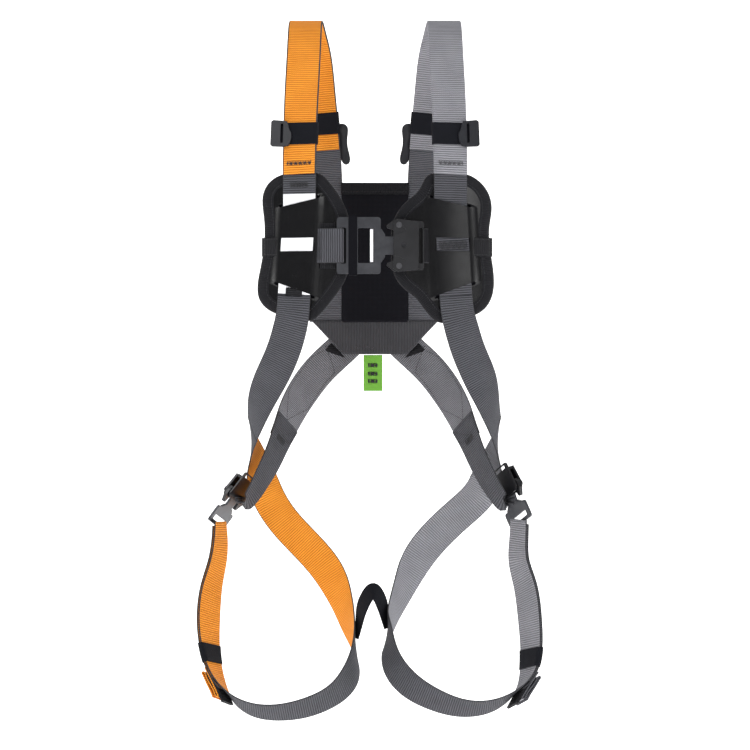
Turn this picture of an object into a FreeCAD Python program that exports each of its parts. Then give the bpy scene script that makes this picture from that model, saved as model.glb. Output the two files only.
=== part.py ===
"""Full-body safety harness: webbing, chest panels, buckles, keepers and the dorsal attachment ring.

Millimetres. Points below are measured from the middle of the torso: X to the right, Y from the chest to the
back, Z up. Every piece is moved at export, so that the part's origin is the pivot of the dorsal ring.
The "left" side has negative X.
"""

import FreeCAD, Part

import math
import os

V = FreeCAD.Vector

# Driving dimensions
WEB_WIDTH = 44.0          # all load-bearing webbing
WEB_THICK = 1.8
SHOULDER_THICK = 3.4      # two layers of webbing sewn together
ELASTIC_THICK = 1.2
PIVOT = V(0, 125, 200)    # dorsal ring pivot, the part's origin

# Chest: flat in the middle, then curved back at a constant radius
CHEST_Y = -92.0           # back face of the chest pads
FLAT_HALF = 40.0
CHEST_RADIUS = 230.0
CHEST_BEND = 0.56         # radians that the curved part turns through
SLAB_HEIGHT = 320.0       # the slabs that the panels are cut from reach above the panels
CUT_FROM_Y, CUT_DEPTH = -140.0, 120.0   # outlines are extruded from in front of the chest
PAD_THICK = 7.0
RIM_THICK = 9.0
RIM_WIDTH = 17.0
SHEET_THICK = 1.0
WEB_DEPTH = 9.2           # chest webbing's back face, in front of the pads' back face
TAB_DEPTH = 13.4          # the same for the short webbing that carries the buckle
BACK_Y = 95.0             # plane of the rear straps
TAIL_LIFT = 3.0           # from the middle of a leg strap to the middle of its tail
ROLL_THICK = 10.4         # sewn roll at the tail's end
ROLL_REACH = (-24.0, 18.0)   # along the strap, from the roll's station

# Keepers: elastic bands that slide on a strap
SHOULDER_KEEPER_HEIGHT = 29.0
SHOULDER_KEEPER_SLACK = 1.3   # room between the strap and the band
LEG_KEEPER_HEIGHT = 25.0
LEG_KEEPER_SLACK = 2.9
CLIP_GAP = 0.3                # between a band and its moulded end
CLIP_THICK = 3.2
REAR_CLIP_THICK = 3.0

# Back: panel, binding, lower band, tag and yoke as (half width, near face, far face, bottom, top)
BACK_PANEL = (43.0, 90.2, 96.2, 72.6, 243.0)
BACK_BINDING = (43.5, 89.0, 97.4, 243.4, 260.0)
YOKE = (88.0, 97.8, 99.6, 178.0, 222.0)
LOWER_BAND = [(-86, 72), (86, 72), (43, 28), (-43, 28)]
LOWER_BAND_Y = 91.8
TAG_X, TAG_Y, TAG_Z = (-15.5, 10.0), (94.4, 95.6), (-21.6, 27.2)

# Dorsal attachment ring and its mounting
DORSAL_PLATE = (90.0, 76.0, 5.0, 14.0)    # width, height, thickness, corner radius
DORSAL_PLATE_Y = 105.2
LOOP_HALF = 20.0          # half the width of the webbing loop round the ring's bar
LOOP_INSIDE, LOOP_OUTSIDE = 5.7, 7.8
RING_ROD = 5.0
RING_HALF = 28.0
RING_DROP = 16.0          # from the bar to the middle of the half circle
RING_SHOULDER = 6.6       # radius of the forged corners

CROTCH_LINK_WIDTH, CROTCH_LINK_THICK = 26.0, 1.6

# Centre buckle
BUCKLE_Z = 164.0          # height of the buckle's middle
MOUTH_X = 23.4            # the female buckle's mouth
PLATE_DEPTH = 13.8        # of the male plate's back face, in front of the pads' back face
PLATE_THICK = 3.0
CENTRE_PLATE = (72.0, 36.0)   # male plate: length from the mouth, half width
LEG_PLATE = (40.0, 30.0)
CENTRE_BASE, CENTRE_COVER, LEG_FEMALE = 33.0, 33.5, 31.0   # half widths of the female halves
LONG_PLATE = 60.0             # plates longer than this have a window between slot and tongue
BASE_FACES = (-2.4, -0.6)     # heights above the male plate's back face
COVER_FACES = (5.6, 8.4)
LEVER_FACES = (0.2, 4.6)
CHECK_HOLE = 2.9              # radius of the inspection hole over the latch
PLATE_BAND = (-57.0, -46.0, 38.0)   # keeper band of the male plate: ends and half width
RIVET_X, RIVET_Y, RIVET_RADIUS = 7.1, 25.9, 2.4   # from the mouth and the buckle's middle

# Outer outlines of the chest panels as (x, z), clockwise from the top inner corner
PANEL_LEFT = [
    (-70, 256), (-92, 258), (-119, 256), (-136, 246), (-144, 230), (-143, 205), (-142, 172), (-147, 138),
    (-151, 113), (-149, 98), (-139, 85), (-123, 77), (-100, 72), (-81, 69), (-67, 80), (-53, 97),
    (-40, 116), (-33, 134), (-31, 164), (-33, 199), (-46, 229), (-57, 244),
]
PANEL_RIGHT = [
    (66, 253), (92, 258), (119, 256), (136, 246), (147, 230), (150, 214), (147, 190), (149, 155),
    (153, 121), (151, 103), (142, 86), (127, 76), (104, 70), (84, 66), (66, 79), (52, 97),
    (36, 110), (24, 128), (20, 164), (22, 192), (40, 221), (56, 236),
]
# Slots of the sheets: height of the line at the webbing's outer and inner edge
TOP_SLOT = (216.0, 226.0)
BOTTOM_SLOT = (116.0, 100.0)
MIDDLE_SLOT = (157.0, 175.0)
MIDDLE_SLOT_X = (75.0, 119.0)
BRIDGE_X = (60.0, 140.0)      # the sheet stands over the webbing between these
WEB_MARGIN, BRIDGE_MARGIN = 1.5, 3.0   # of the bridge's inside and outside, beside the webbing
SHEET_GAP = 0.3               # between the pad and the sheet
BRIDGE_GAP = 0.9              # between the webbing and the sheet
LABEL_Z = (101.0, 232.0)
LABEL_FACES = (0.1, 0.6)      # in front of the webbing
TAB_LEFT, TAB_RIGHT = (-72.0, -50.0), (64.5, 84.0)
PANEL_WEB_TOP = 259.0
PANEL_WEB_BOTTOM = 100.0
PANEL_WEB_X = (96.0, 103.0)   # distance of its middle from X = 0 at the top slot and at the bottom

# Webbing routes: (middle of the webbing, direction from its outer or near edge to its other edge)
SHOULDER = [
    ((-96, -98.8, 255), (0.97, -0.24, 0)),
    ((-96, -97, 270), (0.975, -0.2, 0)),
    ((-95.4, -90, 307), (0.98, -0.17, 0)),
    ((-94.8, -84.8, 333), (0.99, -0.13, 0)),
    ((-94, -78.5, 357), (1, -0.06, 0)),
    ((-92, -62, 406), (1, 0, 0)),
    ((-91, -40, 442), (1, 0, 0)),
    ((-90, -2, 463), (1, 0, 0)),
    ((-86, 36, 450), (1, 0, 0)),
    ((-80, 57, 424), (1, 0, 0)),
    ((-76, 68, 390), (1, 0, 0)),
    ((-71.3, 80, 338), (1, 0, 0)),
    ((-68.5, 88, 303), (1, 0, 0)),
]
FRONT_KEEPER_AT, REAR_KEEPER_AT = 2, 11   # stations of the shoulder route
REAR_STRAP = [
    ((-68.4, 88.2, 302), (1, 0, 0)),
    ((-66.5, 93.4, 268), (1, 0, 0)),
    ((-66, BACK_Y, 225), (1, 0, 0)),
    ((-66, BACK_Y, 150), (1, 0, 0)),
    ((-66, BACK_Y, 73), (1, 0, 0)),
]
SEAT_STRAP = [
    ((-33, 99, 47), (0.72, 0, -0.69)),
    ((-50, 98, 31), (0.75, 0, -0.66)),
    ((-73, 93, 9), (0.84, 0.1, -0.5)),
    ((-96, 84, -21), (0.79, 0.25, -0.6)),
    ((-112, 63, -50), (0.7, 0.6, -0.4)),
    ((-123, 42, -76), (0.55, 0.74, -0.36)),
]
HIP_LOOP_LEFT = [
    ((-124.1, 40.2, -78.8), (0.55, 0.74, -0.36)),
    ((-135, 22, -109), (0.45, 0.8, -0.4)),
    ((-149.5, 6, -138), (0.4, 0.87, -0.3)),
    ((-165.4, -3.2, -163.8), (0.37, 0.9, -0.17)),
]
HIP_LOOP_RIGHT = [
    ((124.1, 40.2, -78.8), (-0.55, 0.74, -0.36)),
    ((135, 22, -109), (-0.47, 0.8, -0.38)),
    ((149.5, 5, -139), (-0.46, 0.86, -0.24)),
    ((166.0, -4.2, -165), (-0.45, 0.887, -0.12)),
]
SIDE_STRAP_LEFT = [
    ((-103, -94.3, 97), (0.97, -0.25, 0)),
    ((-105, -94.3, 76), (0.97, -0.23, 0)),
    ((-109, -90.5, 57), (0.97, -0.18, -0.08)),
    ((-115, -83, 37), (0.96, -0.15, -0.2)),
    ((-126, -72, 11), (0.93, -0.12, -0.34)),
    ((-141, -54, -18), (0.82, -0.36, -0.44)),
    ((-153, -34, -46), (0.58, -0.6, -0.54)),
    ((-160, -12, -69), (0.32, -0.75, -0.58)),
]
SIDE_STRAP_RIGHT = [
    ((103, -94.3, 97), (-0.97, -0.25, 0)),
    ((106, -94.3, 76), (-0.97, -0.23, 0)),
    ((111, -90.5, 57), (-0.97, -0.18, -0.08)),
    ((118, -83, 35), (-0.96, -0.15, -0.2)),
    ((130, -71, 7), (-0.95, -0.12, -0.3)),
    ((143, -54, -23), (-0.76, -0.52, -0.4)),
    ((152, -34, -48), (-0.48, -0.7, -0.53)),
    ((159, -12, -69), (-0.3, -0.77, -0.56)),
]
HIP_STRAP_LEFT = [
    ((-160.2, -10.8, -70), (0.32, -0.75, -0.58)),
    ((-162, 8, -86), (0.05, -0.8, -0.6)),
    ((-160, 30, -104), (-0.3, -0.62, -0.72)),
    ((-153, 50, -132), (-0.58, -0.25, -0.76)),
]
HIP_STRAP_RIGHT = [
    ((159.2, -10.8, -70), (-0.3, -0.77, -0.56)),
    ((161, 8, -86), (-0.05, -0.8, -0.6)),
    ((159, 30, -104), (0.3, -0.62, -0.72)),
    ((152, 50, -130), (0.58, -0.25, -0.76)),
]
LEG_STRAP_LEFT = [
    ((-152.6, 50.9, -133.4), (-0.58, -0.25, -0.76)),
    ((-142, 61, -164), (-0.7, -0.05, -0.7)),
    ((-122, 67, -196), (-0.72, 0, -0.69)),
    ((-90, 70, -231), (-0.72, 0, -0.69)),
    ((-64, 66, -262), (-0.72, 0.15, -0.67)),
    ((-45, 50, -298), (-0.6, 0.55, -0.58)),
    ((-35, 26, -325), (-0.4, 0.83, -0.38)),
    ((-28, 0, -344), (-0.15, 0.9, -0.4)),
    ((-25, -28, -360), (0.13, 0.87, -0.47)),
    ((-31, -54, -386), (0.42, 0.75, -0.5)),
    ((-52, -71, -409), (0.41, 0.75, -0.52)),
    ((-84, -79, -424), (0.28, 0.76, -0.6)),
    ((-120, -81, -431), (0.13, 0.8, -0.58)),
    ((-154, -78, -429), (0.02, 0.85, -0.52)),
    ((-181, -72, -416), (0.1, 0.9, -0.43)),
    ((-199, -62, -394), (0.33, 0.86, -0.38)),
    ((-211, -49, -360), (0.46, 0.84, -0.26)),
    ((-215, -35, -320), (0.55, 0.84, -0.05)),
    ((-211, -18, -272), (0.5, 0.86, 0.05)),
    ((-204.5, -10, -242), (0.42, 0.9, -0.06)),
    ((-197.5, -7, -212), (0.34, 0.92, -0.15)),
    ((-188.5, -7, -177), (0.28, 0.93, -0.2)),
]
LEG_STRAP_RIGHT = [
    ((151.6, 50.9, -131.4), (0.58, -0.25, -0.76)),
    ((140, 61, -158), (0.7, -0.05, -0.7)),
    ((117, 67, -182), (0.7, 0, -0.7)),
    ((84, 70, -213), (0.71, 0, -0.7)),
    ((58, 66, -245), (0.72, 0.2, -0.65)),
    ((38, 50, -283), (0.56, 0.62, -0.52)),
    ((26, 26, -308), (0.36, 0.85, -0.36)),
    ((18.5, 0, -328), (0.15, 0.92, -0.36)),
    ((16, -28, -345), (-0.25, 0.88, -0.4)),
    ((22, -54, -371), (-0.5, 0.7, -0.5)),
    ((43, -71, -396), (-0.5, 0.62, -0.6)),
    ((74, -79, -414), (-0.33, 0.68, -0.65)),
    ((108, -81, -425), (-0.12, 0.77, -0.62)),
    ((143, -78, -425), (0.03, 0.86, -0.5)),
    ((171, -72, -414), (-0.1, 0.91, -0.4)),
    ((190, -62, -397), (-0.33, 0.87, -0.38)),
    ((200, -49, -366), (-0.5, 0.83, -0.26)),
    ((200, -35, -318), (-0.58, 0.8, -0.14)),
    ((194, -18, -272), (-0.56, 0.82, -0.08)),
    ((187, -10, -243), (-0.5, 0.86, -0.08)),
    ((180.5, -7, -213), (-0.44, 0.89, -0.1)),
    ((173.5, -6.5, -179), (-0.42, 0.9, -0.12)),
]
# Leg buckles: middle of the female half's mouth, direction from the male to the female half,
# outward direction
LEG_BUCKLE_LEFT = ((-185, -2, -165), (0.58, 0.1, 0.8), (-0.75, 0.35, 0.5))
LEG_BUCKLE_RIGHT = ((176, 0, -159), (-0.38, 0.25, 0.89), (0.8, 0.45, 0.22))
LEG_KEEPER_AT, TAIL_ROLL_AT, TAIL_FROM, TAIL_TO = 16, 15, 14, -2   # stations of the leg straps
CROTCH_LINK = [
    ((-24.6, -6, -345), (0.1, -0.9, -0.42)),
    ((-20, -5, -320), (0.3, -0.85, -0.44)),
    ((-14, -5, -297), (0.35, -0.72, -0.6)),
    ((-2, -6, -283), (0, -0.65, -0.76)),
    ((8, -5, -297), (-0.35, -0.72, -0.6)),
    ((12, -5, -314), (-0.3, -0.85, -0.44)),
    ((15.2, -6, -332), (-0.1, -0.9, -0.42)),
]


def export(name, *solids):
    shape = solids[0] if len(solids) == 1 else Part.makeCompound(list(solids))
    moved = shape.copy()
    moved.translate(V(0, 0, 0) - PIVOT)
    moved.exportStep("parts/" + name + ".step")


def mirrored(shape):
    return shape.mirror(V(0, 0, 0), V(1, 0, 0))


def stations_frame(stations):
    """Middle, tangent, across and outward directions at each station of a route."""
    mids = [V(*m) for m, _ in stations]
    frames = []
    for i, (_, across) in enumerate(stations):
        tangent = mids[min(i + 1, len(mids) - 1)] - mids[max(i - 1, 0)]
        tangent.normalize()
        across = V(*across)
        across = across - tangent * across.dot(tangent)
        across.normalize()
        frames.append((mids[i], tangent, across, tangent.cross(across)))
    return frames


def curve(points):
    spline = Part.BSplineCurve()
    spline.interpolate(points)
    return spline.toShape()


def ribbon(stations, width=WEB_WIDTH, thick=WEB_THICK, lift=0.0, stretch=slice(None)):
    """Closed solid of a band of webbing; lift moves it off its route along its normal."""
    corners = [(-1, -1), (1, -1), (1, 1), (-1, 1)]
    lines = [[], [], [], []]
    for mid, _, across, normal in stations_frame(stations)[stretch]:
        for line, (a, n) in zip(lines, corners):
            line.append(mid + across * (a * width / 2) + normal * (n * thick / 2 + lift))
    edges = [curve(line) for line in lines]
    faces = [Part.makeRuledSurface(edges[i], edges[(i + 1) % 4], 1) for i in range(4)]
    for end in (0, -1):
        ring = [line[end] for line in lines]
        faces.append(Part.Face(Part.makePolygon(ring + ring[:1])))
    shell = Part.makeShell(faces)
    shell.sewShape()
    solid = Part.makeSolid(shell)
    if solid.Volume < 0:
        solid.reverse()
    return solid


def placement(origin, x_dir, z_dir):
    """Local frame with the given X and Z directions (Z is made square to X)."""
    x_dir = V(*x_dir)
    x_dir.normalize()
    z_dir = V(*z_dir)
    z_dir = z_dir - x_dir * z_dir.dot(x_dir)
    z_dir.normalize()
    y_dir = z_dir.cross(x_dir)
    m = FreeCAD.Matrix(
        x_dir.x, y_dir.x, z_dir.x, origin[0],
        x_dir.y, y_dir.y, z_dir.y, origin[1],
        x_dir.z, y_dir.z, z_dir.z, origin[2],
        0, 0, 0, 1,
    )
    return FreeCAD.Placement(m)


def station_placement(frame, lift=0.0):
    """Local X across the strap and local Z along it, at a station of its route."""
    mid, tangent, across, normal = frame
    origin = mid + normal * lift
    return placement(tuple(origin), tuple(across), tuple(tangent))


def placed(shape, where):
    moved = shape.copy()
    moved.Placement = where.multiply(moved.Placement)
    return moved


def prism(points, z0, z1):
    """Straight-sided solid from a plan outline."""
    ring = [V(x, y, z0) for x, y in points]
    return Part.Face(Part.makePolygon(ring + ring[:1])).extrude(V(0, 0, z1 - z0))


def box(x0, x1, y0, y1, z0, z1):
    return Part.makeBox(x1 - x0, y1 - y0, z1 - z0, V(x0, y0, z0))


def rounded_box(x0, x1, y0, y1, z0, z1, radius):
    """Box with its four edges along Z rounded."""
    block = box(x0, x1, y0, y1, z0, z1)
    upright = [e for e in block.Edges if abs(e.Vertexes[0].Z - e.Vertexes[-1].Z) > 0.9 * (z1 - z0)]
    return block.makeFillet(radius, upright)


# ---- chest panels ----


def front_plan(depth, bend):
    """Points of the torso's front surface, seen from above, at a depth in front of the pads' back."""
    reach = CHEST_RADIUS + depth
    x = FLAT_HALF + reach * math.sin(bend)
    return x, CHEST_Y + CHEST_RADIUS - reach * math.cos(bend)


def front_layer(near, far):
    """Slab that follows the torso's front, from one depth to another."""
    edges = []
    ends = []
    for depth in (near, far):
        xm, ym = front_plan(depth, CHEST_BEND / 2)
        xe, ye = front_plan(depth, CHEST_BEND)
        y0 = CHEST_Y - depth
        right = Part.Arc(V(FLAT_HALF, y0, 0), V(xm, ym, 0), V(xe, ye, 0)).toShape()
        left = Part.Arc(V(-FLAT_HALF, y0, 0), V(-xm, ym, 0), V(-xe, ye, 0)).toShape()
        edges += [right, left, Part.makeLine(V(-FLAT_HALF, y0, 0), V(FLAT_HALF, y0, 0))]
        ends.append((V(xe, ye, 0), V(-xe, ye, 0)))
    edges += [Part.makeLine(a, b) for a, b in zip(*ends)]
    wire = Part.Wire(Part.__sortEdges__(edges))
    return Part.Face(wire).extrude(V(0, 0, SLAB_HEIGHT))


def front_prism(points, smooth=False):
    """Outline in X and Z, extruded through the torso's front."""
    ring = [V(x, CUT_FROM_Y, z) for x, z in points]
    if smooth:
        spline = Part.BSplineCurve()
        spline.interpolate(Points=ring, PeriodicFlag=True)
        wire = Part.Wire(spline.toShape())
    else:
        wire = Part.makePolygon(ring + ring[:1])
    return Part.Face(wire).extrude(V(0, CUT_DEPTH, 0))


def inset(points, distance):
    """The outline moved inward, point by point, along its normals."""
    area = sum(a[0] * b[1] - b[0] * a[1] for a, b in zip(points, points[1:] + points[:1]))
    side = 1 if area > 0 else -1
    moved = []
    for i, (x, z) in enumerate(points):
        before, after = points[i - 1], points[(i + 1) % len(points)]
        dx, dz = after[0] - before[0], after[1] - before[1]
        length = math.hypot(dx, dz)
        moved.append((x - side * distance * dz / length, z + side * distance * dx / length))
    return moved


def web_edges(side, margin):
    """Plan of the panel's webbing, widened by a margin, from the shoulder down to the hem."""
    half = WEB_WIDTH / 2 + margin
    top, low = PANEL_WEB_X
    return [
        (side * (top - half), PANEL_WEB_TOP), (side * (top + half), PANEL_WEB_TOP),
        (side * (top + half), TOP_SLOT[0]), (side * (low + half), PANEL_WEB_BOTTOM),
        (side * (low - half), PANEL_WEB_BOTTOM), (side * (top - half), TOP_SLOT[0]),
    ]


def chest_panel(side, outline, name):
    inner = inset(outline, RIM_WIDTH)
    outer_prism = front_prism(outline, smooth=True)
    inner_prism = front_prism(inner, smooth=True)
    export("chest_pad_" + name, front_layer(0, PAD_THICK).common(inner_prism))
    export("chest_rim_" + name, front_layer(0, RIM_THICK).common(outer_prism.cut(inner_prism)))

    web_front = WEB_DEPTH + WEB_THICK
    near_x, far_x = BRIDGE_X
    channel = front_prism(web_edges(side, WEB_MARGIN))
    bridge_zone = front_prism(
        [
            (side * far_x, TOP_SLOT[0] - 2), (side * near_x, TOP_SLOT[1] + 1),
            (side * near_x, BOTTOM_SLOT[1] - 1), (side * far_x, BOTTOM_SLOT[0] + 2),
        ]
    )
    window = front_rectangle([side * x for x in MIDDLE_SLOT_X], MIDDLE_SLOT)
    base = PAD_THICK + SHEET_GAP
    raised = web_front + BRIDGE_GAP
    flat = front_layer(base, base + SHEET_THICK).common(inner_prism).cut(channel.common(bridge_zone))
    wide_channel = front_prism(web_edges(side, BRIDGE_MARGIN))
    bridge = front_layer(base, raised + SHEET_THICK).common(wide_channel.common(bridge_zone))
    hollow = front_layer(base - 1, raised).common(channel)
    sheet = flat.fuse(bridge.cut(hollow)).cut(window).common(inner_prism)
    export("chest_sheet_" + name, sheet.removeSplitter())

    webbing = front_layer(WEB_DEPTH, web_front).common(front_prism(web_edges(side, 0)))
    if side < 0:
        sleeve = front_prism(web_edges(side, SHEET_GAP))
        sleeve = sleeve.common(front_rectangle([-far_x, -near_x], LABEL_Z))
        near, far = LABEL_FACES
        export("id_label_left", front_layer(web_front + near, web_front + far).common(sleeve))
        export("chest_webbing_left", webbing, centre_tab(TAB_LEFT))
    else:
        export("chest_webbing_right", webbing, centre_tab(TAB_RIGHT))


def front_rectangle(xs, zs):
    return front_prism([(xs[0], zs[0]), (xs[0], zs[1]), (xs[1], zs[1]), (xs[1], zs[0])])


def centre_tab(ends):
    """Short webbing between a chest panel's webbing and the centre buckle."""
    region = front_rectangle(ends, (BUCKLE_Z - WEB_WIDTH / 2, BUCKLE_Z + WEB_WIDTH / 2))
    return front_layer(TAB_DEPTH, TAB_DEPTH + WEB_THICK).common(region)


# ---- quick-connect buckles; local X runs from the male to the female half, local Z outward ----


def male_plate(length, half_width):
    """Flat steel plate with a webbing slot at its far end and a tongue that enters the female half."""
    end = -length
    body = rounded_box(end, -16, -half_width, half_width, 0, PLATE_THICK, 4)
    tongue = prism(
        [(-20, -21), (-15, -21), (-10.5, -14), (-10.5, 14), (-15, 21), (-20, 21)], 0, PLATE_THICK
    )
    nose = prism(
        [
            (-12, -11.4), (15.5, -11.4), (15.5, -8.2), (19.6, -8.2), (19.6, -10.8), (24, -8), (26, -5),
            (26, 5), (24, 8), (19.6, 10.8), (19.6, 8.2), (15.5, 8.2), (15.5, 11.4), (-12, 11.4),
        ],
        0, PLATE_THICK,
    )
    slot = rounded_box(end + 5, end + 12, -23, 23, -1, PLATE_THICK + 1, 2)
    plate = body.fuse(tongue).fuse(nose).cut(slot)
    if length > LONG_PLATE:
        plate = plate.cut(rounded_box(-45, -25, -22.2, 22.2, -1, PLATE_THICK + 1, 1.5))
    return plate.removeSplitter()


def female_base(half_width):
    """Steel base plate with the webbing slot behind the cover."""
    plate = prism(
        [
            (0, -half_width + 5), (5, -half_width), (37, -half_width + 2), (39, -half_width + 5),
            (39, half_width - 5), (37, half_width - 2), (5, half_width), (0, half_width - 5),
        ],
        *BASE_FACES,
    )
    return plate.cut(rounded_box(32.6, 37, -22.6, 22.6, -3, 0, 1.5))


def female_cover(half_width):
    """Pressed cover: a shallow box, open at the mouth and at the two lever bays."""
    outline = [
        (0, -half_width + 4), (6.5, -half_width), (31, -half_width + 3),
        (32, half_width - 3.5), (4.5, half_width), (0, half_width - 4),
    ]
    low, high = COVER_FACES
    foot = BASE_FACES[1]
    cover = prism(outline, low, high)
    for s in (-1, 1):
        cover = cover.cut(prism([(-1, s * 12), (17, s * 18), (-1, s * 40)], high - 0.8, high + 1))
    cover = cover.fuse(box(28.4, 32, -half_width + 4, half_width - 4, foot, low))
    for s in (-1, 1):
        cover = cover.fuse(box(6, 12, s * 15 - 1.2, s * 15 + 1.2, foot, low))
        cover = cover.cut(Part.makeCylinder(RIVET_RADIUS + 0.1, 5, V(RIVET_X, s * RIVET_Y, low - 1)))
    return cover.cut(Part.makeCylinder(CHECK_HOLE, 4, V(13, 0, low - 0.6))).removeSplitter()


def rivet(side):
    foot = BASE_FACES[1]
    top = COVER_FACES[1] + 0.1
    shank = Part.makeCylinder(RIVET_RADIUS, top + 1.1 - foot, V(RIVET_X, side * RIVET_Y, foot))
    head = Part.makeCylinder(3.8, 1.0, V(RIVET_X, side * RIVET_Y, top))
    return shank.fuse(head)


def release_lever(side):
    """Thumb lever that turns on a rivet and lifts the latch spring's hook."""
    points = [(-8, 22), (-9, 25), (1, 33), (9, 32), (14, 29), (15, 23), (10, 20.5), (0, 19.5)]
    lever = prism([(x, side * y) for x, y in points], *LEVER_FACES)
    return lever.cut(Part.makeCylinder(RIVET_RADIUS + 0.35, 8, V(RIVET_X, side * RIVET_Y, -2)))


def latch_spring(side):
    """Flat spring that holds its hook in the tongue's notch."""
    points = [
        (27.6, 24), (27.6, 27), (26.4, 27), (26.4, 22.5), (18.6, 14.5), (16.2, 13), (16.2, 8.7),
        (19.2, 8.7), (19.2, 13), (27.4, 21.6),
    ]
    return prism([(x, side * y) for x, y in points], 0.2, PLATE_THICK - 0.2)


def centre_buckle():
    where = placement((MOUTH_X, CHEST_Y - PLATE_DEPTH, BUCKLE_Z), (1, 0, 0), (0, -1, 0))
    export("male_plate", placed(male_plate(*CENTRE_PLATE), where))
    start, end, half = PLATE_BAND
    inside = CENTRE_PLATE[1] + 0.3
    band = rounded_box(start, end, -half, half, -1.6, PLATE_THICK + 1.6, 1.2)
    band = band.cut(box(start - 3, end + 6, -inside, inside, -0.3, PLATE_THICK + 0.3))
    export("male_keeper_band", placed(band, where))
    export("female_base", placed(female_base(CENTRE_BASE), where))
    export("female_cover", placed(female_cover(CENTRE_COVER), where))
    export("female_rivets", *[placed(rivet(s), where) for s in (-1, 1)])
    export("latch_springs", *[placed(latch_spring(s), where) for s in (-1, 1)])
    export("release_lever_upper", placed(release_lever(1), where))
    export("release_lever_lower", placed(release_lever(-1), where))


# ---- keepers ----


def keeper_band(strap_thick, height, slack):
    """Elastic ring round a strap. Local X across the strap, local Z along it."""
    a = WEB_WIDTH / 2 + slack
    n = strap_thick / 2 + slack
    wall = ELASTIC_THICK
    outer = box(-a - wall, a + wall, -n - wall, n + wall, -height / 2, height / 2)
    return outer.cut(box(-a, a, -n, n, -height, height))


def clip_plate(face):
    """Plate and tab in local X (across) and Z (along), extruded along local Y from the band's face."""
    outline = [
        (-37, -15), (-35, -17), (-20, -18), (-14, -17), (-11, -12), (-9.5, -5), (-10.5, 1),
        (-13, 5), (-14, 10), (-16, 15), (-20, 16), (-34, 17.5), (-36.5, 15.5),
    ]
    ring = [V(x, face, z) for x, z in outline]
    plate = Part.Face(Part.makePolygon(ring + ring[:1])).extrude(V(0, CLIP_THICK, 0))
    return plate.cut(box(-24, -20.6, face - 1, face + 5, -13, 12.5))


def rear_clip(face):
    """Moulded two-lobed end of a rear keeper, beside the strap."""
    outline = [
        (21, 2), (29, 2), (33.5, 6), (34, 13), (32.5, 21), (32, 35), (33.5, 45), (33.5, 52),
        (31, 56.5), (26, 57), (22.5, 53), (21, 29),
    ]
    ring = [V(x, face, z) for x, z in outline]
    return Part.Face(Part.makePolygon(ring + ring[:1])).extrude(V(0, REAR_CLIP_THICK, 0))


# ---- assembly ----


def slab(half, near, far, low, high):
    """Box that is symmetric about the middle of the torso."""
    return box(-half, half, near, far, low, high)


def back():
    export("back_panel", slab(*BACK_PANEL))
    export("back_panel_binding", rounded_box(-BACK_BINDING[0], *BACK_BINDING, 1.0))
    strap = ribbon(REAR_STRAP)
    export("rear_strap_left", strap)
    export("rear_strap_right", mirrored(strap))
    ring = [V(x, LOWER_BAND_Y, z) for x, z in LOWER_BAND]
    export("lumbar_band", Part.Face(Part.makePolygon(ring + ring[:1])).extrude(V(0, WEB_THICK, 0)))
    seat = ribbon(SEAT_STRAP)
    export("seat_strap_left", seat)
    export("seat_strap_right", mirrored(seat))
    export("tag", box(*TAG_X, *TAG_Y, *TAG_Z))


def dorsal():
    export("dorsal_yoke", slab(*YOKE))
    width, height, thick, corner = DORSAL_PLATE
    plate = rounded_box(-width / 2, width / 2, -height / 2, height / 2, 0, thick, corner)
    export("dorsal_plate", placed(plate, placement((0, DORSAL_PLATE_Y, PIVOT.z), (1, 0, 0), (0, -1, 0))))
    outer = Part.makeCylinder(LOOP_OUTSIDE, 2 * LOOP_HALF, V(-LOOP_HALF, PIVOT.y, PIVOT.z), V(1, 0, 0))
    outer = outer.fuse(
        slab(LOOP_HALF, DORSAL_PLATE_Y + 0.4, PIVOT.y, PIVOT.z - LOOP_OUTSIDE, PIVOT.z + LOOP_OUTSIDE)
    )
    reach = LOOP_HALF + 10
    hole = Part.makeCylinder(LOOP_INSIDE, 2 * reach, V(-reach, PIVOT.y, PIVOT.z), V(1, 0, 0))
    hole = hole.fuse(
        slab(reach, DORSAL_PLATE_Y + 2.8, PIVOT.y, PIVOT.z - LOOP_INSIDE, PIVOT.z + LOOP_INSIDE)
    )
    export("dorsal_loop", outer.cut(hole).removeSplitter())
    export("dorsal_ring", dorsal_ring())


def dorsal_ring():
    """Forged D-ring: a straight bar on top, two short sides and a half circle."""
    rod, half, side_drop = RING_ROD, RING_HALF, RING_DROP
    y, z = PIVOT.y, PIVOT.z
    path = Part.Wire(
        [
            Part.makeLine(V(-half, y, z - 6), V(-half, y, z - side_drop)),
            Part.Arc(
                V(-half, y, z - side_drop), V(0, y, z - side_drop - half), V(half, y, z - side_drop)
            ).toShape(),
            Part.makeLine(V(half, y, z - side_drop), V(half, y, z - 6)),
        ]
    )
    profile = Part.Wire(Part.makeCircle(rod, V(-half, y, z - 6), V(0, 0, 1)))
    hoop = path.makePipeShell([profile], True, False)
    bar = Part.makeCylinder(rod, 2 * half + 4, V(-half - 2, y, z), V(1, 0, 0))
    ends = [Part.makeSphere(RING_SHOULDER, V(s * half, y, z - 3)) for s in (-1, 1)]
    return bar.fuse(hoop).fuse(ends[0]).fuse(ends[1]).removeSplitter()


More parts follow.
